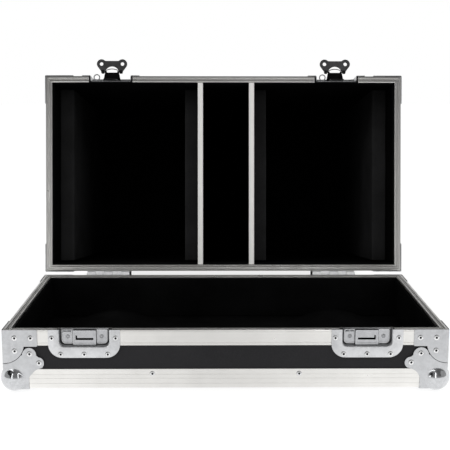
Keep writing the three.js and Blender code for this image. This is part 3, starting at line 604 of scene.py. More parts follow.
def angle_profile(leg, grooves):
    """An angle with a groove at each place of its legs' outer faces."""
    radius = 3.0
    face = [(0.25, leg), (0, leg - 0.25)]
    for at in grooves:
        face += [(0, at + 0.28), (GROOVE, at + 0.15), (GROOVE, at - 0.15), (0, at - 0.28)]
    corner = arc(radius, radius, radius, math.pi, 1.5 * math.pi, 4)
    under = [(v, u) for u, v in reversed(face)]
    return face + corner + under + [(leg, METAL), (METAL, METAL), (METAL, leg)]


EDGE_START = 22.0                        # the angles end inside the ball corners
EDGE_GROOVES, POST_GROOVES = (23.3, 16.6, 8.3), (18.0, 8.0)
EDGE_RIVET_AT, POST_RIVET_AT = 24.2, 13.0
BASE_RIVET_X = 116.0                     # from the middle of a long side
SHORT_SIDE_SHARES, LONG_SIDE_SHARES, POST_SHARES = (0.3, 0.7), (0.2, 0.4, 0.6, 0.8), (0.3, 0.5, 0.7)


def edge_frame(tray):
    bm = bmesh.new()
    profile = angle_profile(LEG, EDGE_GROOVES)
    for name, place, length, inward in side_frames():
        extrusion(bm, profile, place, EDGE_START, length - EDGE_START)
        if length == DEPTH:
            spots = [length * share for share in SHORT_SIDE_SHARES]
        elif tray is BASE:
            spots = [length / 2 - BASE_RIVET_X, length / 2 + BASE_RIVET_X]
        else:
            spots = [length * share for share in LONG_SIDE_SHARES]
        for s in spots:
            rivet(tray, place(s, 0, EDGE_RIVET_AT), (-inward[0], -inward[1], 0), EDGE_RIVET)
            rivet(tray, place(s, EDGE_RIVET_AT, 0), (0, 0, -1), EDGE_RIVET)
    post = angle_profile(POST, POST_GROOVES)
    low, high = LEG + SEAT, tray.height - FLANGE - SEAT
    for end in ENDS.values():
        for side in SIDES.values():
            def place(s, u, v, end=end, side=side):
                return (side * (HALF_W - u), end * (HALF_D - v), s)
            extrusion(bm, post, place, low, high)
            for share in POST_SHARES if tray is HOOD else ():
                z = tray.height * share
                rivet(tray, place(z, 0, POST_RIVET_AT), (side, 0, 0), EDGE_RIVET)
                rivet(tray, place(z, POST_RIVET_AT, 0), (0, end, 0), EDGE_RIVET)
    made_piece(f"edges_{tray.name}", bm, aluminium, tray, f"{tray.name}_edge_frame", sharp=30)


# ---- corner hardware
def clipped_grid(outline, cuts):
    """A flat n-gon cut along lines both ways, as points (a, b) and faces."""
    bm = bmesh.new()
    bm.faces.new([bm.verts.new((a, b, 0)) for a, b in outline])
    for way in (Vector((1, 0, 0)), Vector((0, 1, 0))):
        for value in cuts:
            bmesh.ops.bisect_plane(bm, geom=bm.verts[:] + bm.edges[:] + bm.faces[:], dist=1e-4,
                                   plane_co=way * value, plane_no=way)
    bm.verts.index_update()
    points = [(v.co.x, v.co.y) for v in bm.verts]
    faces = [[v.index for v in f.verts] for f in bm.faces]
    bm.free()
    return points, faces


EDGE_ROUND = 2.2                         # outer radius of the pressed steel's bends
SWELL = 2.6                              # over which the ball blends into its plate
EAR, SIDE_EAR = (42, 54.5, 12.5), (58.3, 42, 9.4)
BALL_TIP, HOLLOW = 43.0, 22.0
BALL_TOP = 41                            # of the hood's plates, beside the ear
BALL_GAP = 0.9                           # to the base's corner plate
ARM_CENTRE = (DROP_AT, DROP - DROP_ROUND)
ARM_START = math.asin((ARM_HEIGHT - DROP + DROP_ROUND) / DROP_ROUND)
BEND_CUTS = [-0.9, -0.2, 0.7]
BALL_CUTS = BEND_CUTS + [2 + 2.1 * i for i in range(17)]
ARM_CUTS = BEND_CUTS + [2.5]
BALL_RIVETS, SHORT_BALL_RIVETS = ((42.2, 57.6), (57.4, 42.6)), ((41.5, 57.2), (56.0, 42.4))
ARM_RIVETS = ((18.6, 13.0), (43.9, 13.0), (18.6, 34.0))
CORNER_FACES = {
    "y": (lambda a, b: (a, -FACE, b), Vector((0, -1, 0))),
    "x": (lambda a, b: (-FACE, a, b), Vector((-1, 0, 0))),
    "z": (lambda a, b: (a, b, -FACE), Vector((0, 0, -1))),
}


def shorter(a, b):
    """The front left ball plate ends a little short of the others."""
    return a - max(0.112 * max(a - 32, 0), 3.5 * smooth(30 - b, 0, 12) * smooth(a, 30, 43)), b


def ball_outline(tray):
    start, end = math.pi * 0.905, math.pi * 0.55
    cx, cy = BALL_TIP - HOLLOW * math.cos(start), 18.0 - HOLLOW * math.sin(start)
    line = [(-FACE, -FACE), (BALL_TIP, -FACE)] + arc(cx, cy, HOLLOW, start, end, 7)
    line += arc(*SIDE_EAR, -math.pi / 3, math.pi / 2, 10)
    if tray is HOOD:
        bend = 6
        line += arc(*EAR, 0, math.pi, 14)
        line += arc(EAR[0] - EAR[2] - bend, BALL_TOP + bend, bend, 0, -math.pi / 2, 5)
        line += [(-FACE, BALL_TOP)]
    else:
        # The curved edge of the corner plate above, and the gap under it
        centre = (DROP_AT, BASE_HEIGHT - DROP + DROP_ROUND)
        radius = DROP_ROUND + BALL_GAP
        line += [p for p in arc(*EAR, 0, math.pi, 28) if math.dist(p, centre) >= radius + 0.05]
        turn = math.atan2(line[-1][1] - centre[1], line[-1][0] - centre[0])
        line += arc(*centre, radius, turn, -math.pi / 2, 10)
        line += [(-FACE, BASE_HEIGHT - DROP - BALL_GAP)]
    return tidy(line)


def arm_outline():
    line = [(-FACE, 0), (ARM, 0), (ARM, ARM_HEIGHT)]
    line = tidy(line + arc(*ARM_CENTRE, DROP_ROUND, ARM_START, math.pi / 2, 14) + [(-FACE, DROP)])
    low, high = 1.5, 2
    line[1:3] = (arc(ARM - low, low, low, -math.pi / 2, 0, 3)
                 + arc(ARM - high, ARM_HEIGHT - high, high, 0, math.pi / 2, 5))
    return line


def round_edges(point, axes):
    """Rounds the outer edges of a corner whose faces lie at -FACE."""
    inner = Vector([max(c, EDGE_ROUND - FACE) if i in axes else c for i, c in enumerate(point)])
    away = Vector(point) - inner
    return inner + away.normalized() * EDGE_ROUND if away.length > 1e-9 else Vector(point)


def ball_point(point):
    """Swells the plates into the ball, and rounds off everything past it."""
    flat = round_edges(point, (0, 1, 2))
    centre = Vector((BALL_IN,) * 3)
    ray = flat - centre
    gap = ray.length - BALL_R
    risen = BALL_R + max(gap, 0) + (max(SWELL - abs(gap), 0) ** 2) / (4 * SWELL)
    outside = max(c - BALL_IN for c in flat)
    length = BALL_R + (risen - BALL_R) * smooth(outside, 0, 13)
    return centre + ray.normalized() * length, 1 - smooth(length - BALL_R, 0.4, SWELL)


def arm_point(point):
    return round_edges(point, (0, 1)), 0.0


def corner_patches(outline, cuts, faces_used, shaped):
    """Patches on the faces of an outer corner, joined along its edges, as one bmesh."""
    bm = bmesh.new()
    shine = bm.verts.layers.float.new("ball")
    points, faces = clipped_grid(outline, cuts)
    for key in faces_used:
        place, outward = CORNER_FACES[key]
        verts = [bm.verts.new(place(a, b)) for a, b in points]
        for face in faces:
            made = bm.faces.new([verts[i] for i in face])
            made.normal_update()
            if made.normal.dot(outward) < 0:
                made.normal_flip()
    bmesh.ops.remove_doubles(bm, verts=bm.verts, dist=0.01)
    for vert in bm.verts:
        vert.co, vert[shine] = shaped(tuple(vert.co))
    thicken(bm, PLATE)
    return bm


def spot(point, signs, move):
    return Vector([c * s + m for c, s, m in zip(point, signs, move)])


def put_at_corner(bm, signs, move):
    """Mirrors a corner's mesh to its place in the tray."""
    for vert in bm.verts:
        vert.co = spot(vert.co, signs, move)
    if signs[0] * signs[1] * signs[2] < 0:
        bmesh.ops.reverse_faces(bm, faces=bm.faces)


def corner_hardware(tray):
    for end_name, end in ENDS.items():
        for side_name, side in SIDES.items():
            where = f"{end_name}_{side_name}"
            low = ((-side, -end, 1), (side * HALF_W, end * HALF_D, 0))
            high = ((-side, -end, -1), (side * HALF_W, end * HALF_D, tray.height))
            outline = ball_outline(tray)
            is_short = tray is BASE and where == "front_left"
            if is_short:
                outline = [shorter(a, b) for a, b in outline]
            for kind, node_kind, bm, at in (
                ("ball", "ball_corner", corner_patches(outline, BALL_CUTS, "yxz", ball_point), low),
                ("corner", "corner_plate", corner_patches(arm_outline(), ARM_CUTS, "yx", arm_point),
                 high),
            ):
                put_at_corner(bm, *at)
                made_piece(f"{kind}_{tray.name}_{where}", bm, zinc, tray,
                           f"{tray.name}_{node_kind}_{where}", bevel=0.5, recalculate=False)
            if tray is BASE:
                # A near black strip under the gap between the plates: painted shade in the gap
                bm = bmesh.new()
                line = arc(*ARM_CENTRE, DROP_ROUND - 0.8, ARM_START, math.pi / 2, 14)
                line += reversed(arc(*ARM_CENTRE, DROP_ROUND + 1.7, ARM_START, math.pi / 2, 14))
                plate(bm, [line], lambda a, b, h: (a, -h, b), 0.05, 0.25)
                plate(bm, [line], lambda a, b, h: (-h, a, b), 0.05, 0.25)
                put_at_corner(bm, *high)
                made_piece(f"seam_{where}", bm, hub_steel, tray)
            outward = {"y": (0, end, 0), "x": (side, 0, 0), "z": (0, 0, -1)}
            for key, (place, _) in CORNER_FACES.items():
                for a, b in SHORT_BALL_RIVETS if is_short else BALL_RIVETS:
                    rivet(tray, spot(place(a, b), *low), outward[key], CORNER_RIVET)
                for a, b in ARM_RIVETS if key != "z" else ():
                    rivet(tray, spot(place(a, b), *high), outward[key], CORNER_RIVET)


# ---- latch dishes
FLOOR_Y = -HALF_D + RECESS_D             # the floor of a latch's recess
TAB_X = -27.5                            # the padlock's tab and eye, from the latch's middle
DISH_ROUND, RECESS_ROUND = 22, 8


def u_curve(top, half, height, radius):
    low = top - height
    line = [(-half, top + (low + radius - top) * i / 3) for i in range(3)]
    line += arc(-half + radius, low + radius, radius, math.pi, 1.5 * math.pi, 8)
    line += [(-half + radius + (2 * half - 2 * radius) * i / 6, low) for i in range(1, 6)]
    line += arc(half - radius, low + radius, radius, 1.5 * math.pi, 2 * math.pi, 8)
    line += [(half, top + (low + radius - top) * (2 - i) / 3) for i in range(3)]
    return line


def latch_dishes():
    for side_name, side in SIDES.items():
        across = side * LATCH_X
        for tray, top_rivet, low_rivet in ((BASE, 13.3, 6.0), (HOOD, 16.5, 8.5)):
            bm = pressed((DISH_W / 2, tray.dish, DISH_ROUND),
                         (RECESS_W / 2, tray.recess, RECESS_ROUND), -0.5, RECESS_ROWS,
                         lambda *sizes: u_curve(tray.height, *sizes),
                         lambda x, z, depth: (across + x, depth - HALF_D, z), False,
                         Vector((0, -1, 0)))
            made_piece(f"dish_{tray.name}_{side_name}", bm, plain_zinc, tray,
                       f"{tray.name}_latch_dish_{side_name}", sharp=55)
            high, low = tray.height - top_rivet, tray.height - tray.dish + low_rivet
            for x, z in ((-50.5, high), (49.5, high), (-37, low), (0, low), (37, low)):
                rivet(tray, (across + x, -HALF_D - FACE, z), (0, -1, 0), DISH_RIVET)
        strike(across, side, side_name)
        padlock_eye(across, side_name)


def strike(across, side, side_name):
    """The keeper in the base's dish: a flat plate, a raised bridge with the tongue's slot,
    and a tab for a padlock."""
    top = BASE_HEIGHT - 2.0
    low = top - 23.0
    half, bridge = RECESS_W / 2 - 3.0, 36.5 / 2
    height, rise = 4.7, 0.55             # of the bridge, and of its rolled edge
    slot_z = BASE_HEIGHT - 14.8

    def face(a, b, h):
        return (across + a, FLOOR_Y - h, b)

    bm, edges = bmesh.new(), bmesh.new()
    for sign in (-1, 1):
        inner = sign * (bridge + 0.9)
        corners = [(inner, top), (sign * half, top), (sign * half, low), (inner, low)]
        outer = rounded_outline(corners, [1, 2, 6, 1], 6)
        plate(bm, [outer], face, 0.1, METAL)
        inset = [(x + sign * dx, z + dz) for (x, z), dx, dz in
                 zip(corners, (1.0, -1.0, -1.0, 1.0), (-1.2, -1.2, 1.2, 1.2))]
        plate(edges, [outer, rounded_outline(inset, [0.5, 1, 5, 0.5], 6)], face, METAL - 0.1,
              METAL + 0.45)
    outer = rounded_outline(rectangle(-bridge, bridge, low - 1.2, top - 0.4), 1.6, 4)
    slot = [(side * x, slot_z + z) for x, z in
            ((-14, 0), (11.6, 0), (11.6, 4), (14, 4), (14, -3.2), (-14, -3.2))]
    plate(bm, [outer, rounded_outline(slot, 0.35, 2)], face, height - METAL, height)
    inner = rounded_outline(rectangle(2.6 - bridge, bridge - 2.6, low + 2, top - 3), 1.2, 3)
    plate(bm, [outer, inner], face, height, height + rise)
    for sign in (-1, 1):
        wall = sorted((sign * bridge, sign * (bridge - METAL)))
        plate(bm, [rectangle(*wall, low - 0.2, top - 0.8)], face, 0.1, height - METAL)
    tab_z, tab_half = BASE_HEIGHT - 3.0, 6.5
    tab = rounded_outline(rectangle(TAB_X - tab_half, TAB_X + tab_half, -HALF_D - 0.2, FLOOR_Y),
                          [2.5, 2.5, 0, 0], 4)
    plate(bm, [tab, circle(TAB_X, -HALF_D + 4.6, 2.3, 14)],
          lambda a, b, h: (across + a, b, h), tab_z - METAL, tab_z)
    made_piece(f"strike_{side_name}", bm, strike_zinc, BASE, bevel=0.35)
    # A near black sheet behind the slot: painted shade on the recess floor seen through it
    bm = bmesh.new()
    shade_sheet = rectangle(2 - bridge, bridge - 2, slot_z - 7, slot_z + 8)
    plate(bm, [rounded_outline(shade_sheet, 1.0, 3)], face, 0.03, 0.2)
    made_piece(f"strike_pocket_{side_name}", bm, hub_steel, BASE)
    made_piece(f"strike_edges_{side_name}", edges, dull_zinc, BASE, bevel=0.3)
    for x in (-26.6, 26.6):
        rivet(BASE, (across + x, FLOOR_Y - METAL, BASE_HEIGHT - 13.0), (0, -1, 0), STRIKE_RIVET,
              kind="dull")


def padlock_eye(across, side_name):
    x, y, top = across + TAB_X, FLOOR_Y - 7.2, HOOD_HEIGHT - 3.0
    bm = bmesh.new()
    profile = [(4.5, -1.1), (4.9, -1.5), (6.1, -1.5), (6.5, -1.1), (6.5, -0.4), (6.1, 0),
               (4.9, 0), (4.5, -0.4), (4.5, -1.1)]
    lathe(bm, profile, (x, y, top), (0, 0, 1), 28)
    bmesh.ops.remove_doubles(bm, verts=bm.verts, dist=0.01)
    box(bm, (x - 2.3, y + 5.4, top - METAL), (x + 2.3, FLOOR_Y + 0.6, top))
    made_piece(f"padlock_eye_{side_name}", bm, strike_zinc, HOOD, sharp=35)


# ---- latches
HUB_Z, PIVOT_Y = HOOD_HEIGHT - HUB_DROP, -HALF_D - PIVOT_RISE
TONGUE_HALF, TONGUE_REACH = 13.0, 20.0
HUB_BACK = FLOOR_Y - 2 * SEAT - METAL
HUB_FRONT = HUB_BACK - 3.0
CHEEK_X, PIN_END, PIN_R = 12.1, 21.1, 1.7


def latches():
    for side_name, side in SIDES.items():
        across = side * LATCH_X
        tongue, hub = f"latch_tongue_{side_name}", f"latch_hub_{side_name}"
        bm = bmesh.new()
        half, tail, tip = TONGUE_HALF, HUB_Z - 14, HOOD_HEIGHT + TONGUE_REACH
        outer = rounded_outline([(-half, tail), (half, tail), (half, tip - 5), (half - 3.5, tip),
                                 (-half + 3.5, tip), (-half, tip - 5)], [2, 2, 2, 1.5, 1.5, 2], 4)
        channel = tidy(arc(0, HUB_Z - 0.3, 4.3, math.pi, 2 * math.pi, 10)
                       + arc(0, HUB_Z + 8.3, 4.3, 0, math.pi, 10))
        plate(bm, [outer, channel], lambda a, b, h: (across + a, FLOOR_Y - SEAT - h, b), 0, METAL)
        made_piece(f"tongue_{side_name}", bm, black_steel, HOOD, tongue, tongue, bevel=0.3)
        # Hub: a disc with a stud, and a folded bracket that carries the wing's pin
        bm = bmesh.new()
        profile = [(0, 0), (13.2, 0), (14, 0.5), (14, 2.4), (13.3, 3), (0, 3)]
        lathe(bm, profile, (across, HUB_BACK, HUB_Z), (0, -1, 0), 36)
        rod(bm, 4, (across, FLOOR_Y - SEAT, HUB_Z), (across, HUB_BACK, HUB_Z))
        foot, crest = -(HUB_BACK - 0.2), -PIVOT_Y - 1.4
        upright = rounded_outline([(-17, foot), (17, foot), (17, -HUB_FRONT), (13.9, crest),
                                   (-13.9, crest), (-17, -HUB_FRONT)],
                                  [0.6, 0.6, 2, 2.2, 2.2, 2], 4)
        plate(bm, [upright], lambda a, b, h: (across + a, -b, HUB_Z + h), -1.5, 1.5)
        cheek = rounded_outline([(HUB_FRONT, -6.5), (HUB_FRONT, 6.5), (PIVOT_Y + 3, 3.2),
                                 (PIVOT_Y - 0.6, 1.8), (PIVOT_Y - 0.6, -1.8),
                                 (PIVOT_Y + 3, -3.2)], [1, 1, 2, 1.4, 1.4, 2], 3)
        for sign in (-1, 1):
            plate(bm, [cheek], lambda a, b, h, sign=sign:
                  (across + sign * CHEEK_X - sign * h, a, HUB_Z + b), 0, METAL)
        made_piece(f"hub_{side_name}", bm, hub_steel, HOOD, hub, hub, bevel=0.35)
        bm = bmesh.new()
        for sign in (-1, 1):
            rod(bm, PIN_R, (across + sign * 10.3, PIVOT_Y, HUB_Z),
                (across + sign * PIN_END, PIVOT_Y, HUB_Z), 16)
            rivet(HOOD, (across + sign * 9.0, HUB_FRONT, HUB_Z + 7.4), (0, -1, 0), HUB_RIVET, hub)
        made_piece(f"pin_{side_name}", bm, black_steel, HOOD, body=hub, sharp=40)
        wing(across, side_name)


def wing(across, side_name):
    """The butterfly: two eared lobes on a bar, with legs down to the pin."""
    lobe_x, lobe_z, lobe_r = 20.8, 15.7, 9.4
    eye_x, eye_r = 18.0, 3.6
    right = [(0, 21.8), (12.4, 21.8), (13.8, 22.3)]
    right += arc(lobe_x, lobe_z, lobe_r, math.radians(138), math.radians(-42), 22)
    right += [(21.9, 1.4)] + arc(eye_x, 0, eye_r, math.radians(10), math.radians(-190), 12)
    right += [(14.2, 1.0), (12.6, 3.4), (10.2, 6.4), (7.4, 8.8), (3.9, 10.4), (0, 10.9)]
    left = [(-x, y) for x, y in reversed(right[1:-1])]
    holes = [circle(x, lobe_z, eye_r, 22) for x in (-lobe_x, lobe_x)]
    body = f"latch_wing_{side_name}"

    def face(a, b, h):
        return (across + a, PIVOT_Y - b, HUB_Z + h)

    bm = bmesh.new()
    plate(bm, [tidy(right + left)] + holes, face, -1.3, 1.3)
    made_piece(f"wing_{side_name}", bm, wing_steel, HOOD, body, body, bevel=0.75, segments=3)
    bm = bmesh.new()
    for sign in (-1, 1):
        rod(bm, eye_r, face(sign * 15.2, 0, 0), face(sign * 20.8, 0, 0), 20, 0.5)
    made_piece(f"wing_eyes_{side_name}", bm, black_steel, HOOD, body=body, sharp=40)
    # The spring wire that bows between the legs
    bm = bmesh.new()
    span, wire, bends, sides = 28, 0.8, 16, 8
    rings = []
    for x in [-span / 2 + span * i / bends for i in range(bends + 1)]:
        point = Vector(face(x, 2.2 + 3.6 * math.cos(math.pi * x / span), 0.2))
        rings.append([bm.verts.new(point + Vector((0, wire * math.cos(t), wire * math.sin(t))))
                      for t in [2 * math.pi * k / sides for k in range(sides)]])
    bridged(bm, rings)
    bm.faces.new(list(reversed(rings[0])))
    bm.faces.new(rings[-1])
    made_piece(f"spring_{side_name}", bm, black_steel, HOOD, body=body, sharp=60)


# ---- hinges
KNUCKLES, KNUCKLE_R, KNUCKLE_BORE = 5, 4.5, 2.3
LEAF_DEPTH, LEAF_RIVET_DROP = 27, 19


def hinges():
    pitch = 2 * HINGE_HALF / KNUCKLES
    for side_name, side in SIDES.items():
        across = side * HINGE_X + HINGE_SHIFT
        for tray, own, axis_z in ((BASE, 0, BASE_HEIGHT), (HOOD, 1, HOOD_HEIGHT + SEAM)):
            bm = bmesh.new()
            edge = axis_z - 5.0
            leaf = rectangle(-HINGE_HALF, HINGE_HALF, tray.height - LEAF_DEPTH, edge)
            plate(bm, [rounded_outline(leaf, [4, 4, 0.5, 0.5])],
                  lambda a, b, h: (across + a, HALF_D + SEAT + h, b), 0, METAL)
            inner, root = SEAT - HINGE_OUT, edge - axis_z - 0.5
            curl = tidy([(inner, root), (inner, 0.4)]
                        + arc(0, 0, KNUCKLE_R, math.radians(150), math.radians(-90), 16)
                        + [(inner + METAL, -4.4), (inner + METAL, root)])
            for i in range(own, KNUCKLES, 2):
                start = -HINGE_HALF + i * pitch + 0.2
                plate(bm, [curl, circle(0, 0, KNUCKLE_BORE, 16)],
                      lambda a, b, h: (across + h, HINGE_Y + a, axis_z + b), start,
                      start + pitch - 0.4)
            made_piece(f"leaf_{tray.name}_{side_name}", bm, dull_zinc, tray,
                       f"hinge_{tray.name}_leaf_{side_name}", bevel=0.3)
            for x in (-30, 0, 30):
                rivet(tray, (across + x, HALF_D + SEAT + METAL, tray.height - LEAF_RIVET_DROP),
                      (0, 1, 0), LEAF_RIVET)
        bm = bmesh.new()
        reach = HINGE_HALF + 0.7
        rod(bm, 1.9, (across - reach, HINGE_Y, BASE_HEIGHT), (across + reach, HINGE_Y, BASE_HEIGHT),
            16)
        made_piece(f"hinge_pin_{side_name}", bm, plain_zinc, BASE, sharp=40)
        # The stop: a black block at the inner end, bent over the pin
        bm = bmesh.new()
        outline = [(-5.7, -10), (-4.2, -10), (3, -3.4), (3, 5.2), (-1.5, 5.2), (-4.2, 3.4),
                   (-4.2, 0), (-5.7, 0)]
        inner = across - side * HINGE_HALF
        start = min(inner, inner - side * 3.0) - SEAT
        plate(bm, [outline], lambda a, b, h: (h, HINGE_Y + a, BASE_HEIGHT + b), start, start + 3.6)
        made_piece(f"hinge_stop_{side_name}", bm, black_steel, BASE, bevel=0.3)


# ---- foam and dividers
def soft_block(bm, low, high, radius, steps, wave=0.35, size=42.0, top=None):
    """A cut block of foam with rounded edges and a slightly uneven face."""
    low, high = Vector(low), Vector(high)
    grids = []
    for axis in range(3):
        count = max(1, steps[axis])
        inner = [low[axis] + radius + (high[axis] - low[axis] - 2 * radius) * i / count
                 for i in range(count + 1)]
        grids.append([low[axis], low[axis] + radius * 0.35] + inner
                     + [high[axis] - radius * 0.35, high[axis]])
    verts = {}

    def vert(i, j, k):
        key = (i, j, k)
        if key not in verts:
            point = Vector((grids[0][i], grids[1][j], grids[2][k]))
            core = Vector([max(low[n] + radius, min(high[n] - radius, point[n])) for n in range(3)])
            away = point - core
            if away.length > 1e-9:
                normal = away.normalized()
                point = core + normal * radius
                uneven = noise.noise(point / size) + 0.5 * noise.noise(point / (size * 0.4))
                point -= normal * wave * (0.6 + uneven)
            if top is not None:
                share = (point.z - low.z) / (high.z - low.z)
                point.z = low.z + share * (top(point.x, point.y) - low.z)
            verts[key] = bm.verts.new(point)
        return verts[key]

    ends = [len(g) - 1 for g in grids]
    for axis in range(3):
        one, two = [n for n in range(3) if n != axis]
        for fixed in (0, ends[axis]):
            for a in range(ends[one]):
                for b in range(ends[two]):
                    corners = []
                    for da, db in ((0, 0), (1, 0), (1, 1), (0, 1)):
                        index = [0, 0, 0]
                        index[axis], index[one], index[two] = fixed, a + da, b + db
                        corners.append(vert(*index))
                    bm.faces.new(corners)


DIVIDERS = {"left": -46.0, "right": 55.0}
DIVIDER_HALF = 3.5
CAP_TOP, CAP_DEPTH, CAP_METAL = HOOD_HEIGHT - 0.5, 11.5, 1.3
CAP_ROOM = 5.4                           # half the gap in the lining at a divider's cap
LINING, LINING_ROUND = 5.0, 1.4
FLOOR_FOAM, FLOOR_FOAM_GAP = 20.0, 55.0
HUMP, HUMP_HALF, HUMP_SET = 27.0, 108.0, 22.0
PAD, PAD_DROP = 29, 70


def foam_linings():
    ox, oy = HALF_W - LINING_FACE, HALF_D - LINING_FACE
    low = LINING_FACE + LINING + 0.1
    cap_low = CAP_TOP - CAP_DEPTH - SEAT
    for tray, steps_z in ((BASE, 4), (HOOD, 16)):
        bm = bmesh.new()
        top = tray.height - LIP - SEAT
        wall_top = top if tray is BASE else cap_low
        soft_block(bm, (-ox, -oy, LINING_FACE), (ox, oy, LINING_FACE + LINING), LINING_ROUND,
                   (18, 10, 1))
        for sign in (-1, 1):
            y0, y1 = sorted((sign * oy, sign * (oy - LINING)))
            soft_block(bm, (-ox, y0, low), (ox, y1, wall_top), LINING_ROUND, (18, 1, steps_z))
            start = -ox
            for across in (*DIVIDERS.values(), ox + CAP_ROOM) if tray is HOOD else ():
                soft_block(bm, (start, y0, cap_low - 1.5), (across - CAP_ROOM, y1, top),
                           LINING_ROUND, (6, 1, 1))
                start = across + CAP_ROOM
            x0, x1 = sorted((sign * ox, sign * (ox - LINING)))
            reach = oy - LINING - 0.1
            soft_block(bm, (x0, -reach, low), (x1, reach, top), LINING_ROUND, (1, 10, steps_z))
        piece = made_piece(f"lining_{tray.name}", bm, foam, tray, f"{tray.name}_lining")


def floor_foam():
    reach_x, reach_y = HALF_W - LINING_BACK - SEAT, HALF_D - LINING_BACK - SEAT
    hump = reach_x - HUMP_SET - HUMP_HALF

    def top(x, y):
        height = FLOOR_FOAM
        for sign in (-1, 1):
            share = (x - sign * hump) / HUMP_HALF
            if abs(share) < 1:
                height += HUMP * (1 + math.cos(math.pi * share)) / 2
        return height + 0.5 * noise.noise(Vector((x, y, 0)) / 60)

    bm = bmesh.new()
    soft_block(bm, (-reach_x, -reach_y, LINING_BACK + SEAT),
               (reach_x, reach_y - FLOOR_FOAM_GAP, FLOOR_FOAM), 1.6, (72, 14, 1), 0.2, top=top)
    piece = made_piece("floor_foam", bm, foam, BASE, "base_floor_foam")


def dividers():
    reach = HALF_D - RIM_WIDTH - SEAT
    half, high = DIVIDER_HALF + SEAT + CAP_METAL, CAP_TOP
    low, inner, under = high - CAP_DEPTH, half - CAP_METAL, high - CAP_METAL
    profile = [(-half, low), (-half, high - 0.9), (-half + 0.25, high - 0.25), (-half + 0.9, high),
               (half - 0.9, high), (half - 0.25, high - 0.25), (half, high - 0.9), (half, low),
               (inner, low), (inner, under), (-inner, under), (-inner, low)]
    for name, across in DIVIDERS.items():
        bm = bmesh.new()
        extrusion(bm, profile, lambda s, u, v: (across + u, s, v), -reach, reach)
        made_piece(f"cap_{name}", bm, cap_aluminium, HOOD, f"divider_cap_{name}", sharp=30)


def pads():
    reach = HALF_D - LINING_BACK - SEAT
    wall = HALF_W - LINING_BACK - SEAT
    gap = DIVIDER_HALF + SEAT
    for name, start in (("pad_left_outer", -wall),
                        ("pad_left_inner", DIVIDERS["left"] - gap - PAD),
                        ("pad_right_inner", DIVIDERS["right"] + gap),
                        ("pad_right_outer", wall - PAD)):
        bm = bmesh.new()
        soft_block(bm, (start, -reach, LINING_BACK + SEAT),
                   (start + PAD, reach, HOOD_HEIGHT - PAD_DROP), 3.0, (4, 14, 20), 0.5, 55.0)
        piece = made_piece(f"foam_{name}", bm, pad_foam, HOOD, name)


# ---- handles
HANDLE_Z = HOOD_HEIGHT - 300.0
HANDLE_FLANGE, HANDLE_RECESS = (70, 46, 10), (56, 32, 8)
PULL_AT = (-20, 4.7)                     # the grip's pin: below the middle, and inward
HANDLE_RIVET_X, HANDLE_RIVET_Z = 62.5, 39


def closed_curve(half_wide, half_tall, radius):
    line = []
    for (cx, cy), start in (((1, 1), 0), ((-1, 1), 90), ((-1, -1), 180), ((1, -1), 270)):
        line += arc(cx * (half_wide - radius), cy * (half_tall - radius), radius,
                    math.radians(start), math.radians(start + 90), 6)
    return line


def handles():
    right, whole, half = math.pi / 2, 2 * math.pi, math.pi
    grip = tidy([(-49, -20)] + arc(-45.5, -20, 3.5, half, 1.5 * half, 5)
                + arc(-42.5, -20, 3.5, 1.5 * half, whole, 5) + arc(-34, 7.5, 5, half, right, 6)
                + arc(34, 7.5, 5, right, 0, 6) + arc(42.5, -20, 3.5, half, 1.5 * half, 5)
                + arc(45.5, -20, 3.5, 1.5 * half, whole, 5) + arc(40, 13.5, 9, 0, right, 7)
                + arc(-40, 13.5, 9, right, half, 7))
    for side_name, side in SIDES.items():
        def at(a, b, h, side=side):
            return (side * (HALF_W - h), a, HANDLE_Z + b)
        bm = pressed(HANDLE_FLANGE, HANDLE_RECESS, 0, UNSHADED_ROWS, closed_curve, at, True,
                     Vector((side, 0, 0)))
        for sign in (-1, 1):
            rod(bm, 5.0, at(sign * 55.4, *PULL_AT), at(sign * 51, *PULL_AT), 18)
        rod(bm, 2.0, at(-56.4, *PULL_AT), at(56.4, *PULL_AT), 14)
        made_piece(f"handle_plate_{side_name}", bm, plain_zinc, HOOD, f"handle_dish_{side_name}",
                   sharp=55)
        x, z = HANDLE_RIVET_X, HANDLE_RIVET_Z
        for a, b in ((-x, -z), (-x, z), (0, -z), (0, z), (x, -z), (x, z), (-x, 0), (x, 0)):
            rivet(HOOD, at(a, b, -FACE), (side, 0, 0), HANDLE_RIVET)
        # The grip: a bent bail, moulded over in rubber
        bm = bmesh.new()
        plate(bm, [grip], at, 1.2, 8.2)
        body = f"handle_grip_{side_name}"
        made_piece(f"grip_{side_name}", bm, rubber, HOOD, body, body, bevel=2.2, segments=4)


# ---- build
for tray in (BASE, HOOD):
    rim(tray)
    edge_frame(tray)
    corner_hardware(tray)
latch_dishes()
latches()
hinges()
foam_linings()
floor_foam()
dividers()
pads()
handles()
make_rivets()

for name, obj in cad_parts.items():
    if not obj.hide_render:
        material = divider_board if name.startswith("divider") else laminate
        obj.data.materials.clear()
        obj.data.materials.append(material)


# ---- stage, lights, camera
def rays_that_see(look):
    """1 for rays from the camera, straight, by a mirror or through glass, and 0 for others."""
    path = look.add("LightPath")
    seen = look.calc("MAXIMUM", path.outputs["Is Camera Ray"], path.outputs["Is Glossy Ray"])
    return look.calc("MAXIMUM", seen, path.outputs["Is Transmission Ray"])


def floor_material():
    look = new_look("stage_floor")
    diffuse = look.add("BsdfDiffuse", Color=(0.3, 0.3, 0.3))
    glow = look.add("Emission", Strength=look.calc("MULTIPLY", rays_that_see(look), 0.82))
    both = look.add("AddShader")
    look.feed(both.inputs[0], diffuse.outputs[0])
    look.feed(both.inputs[1], glow.outputs[0])
    return look.shade(both.outputs[0])


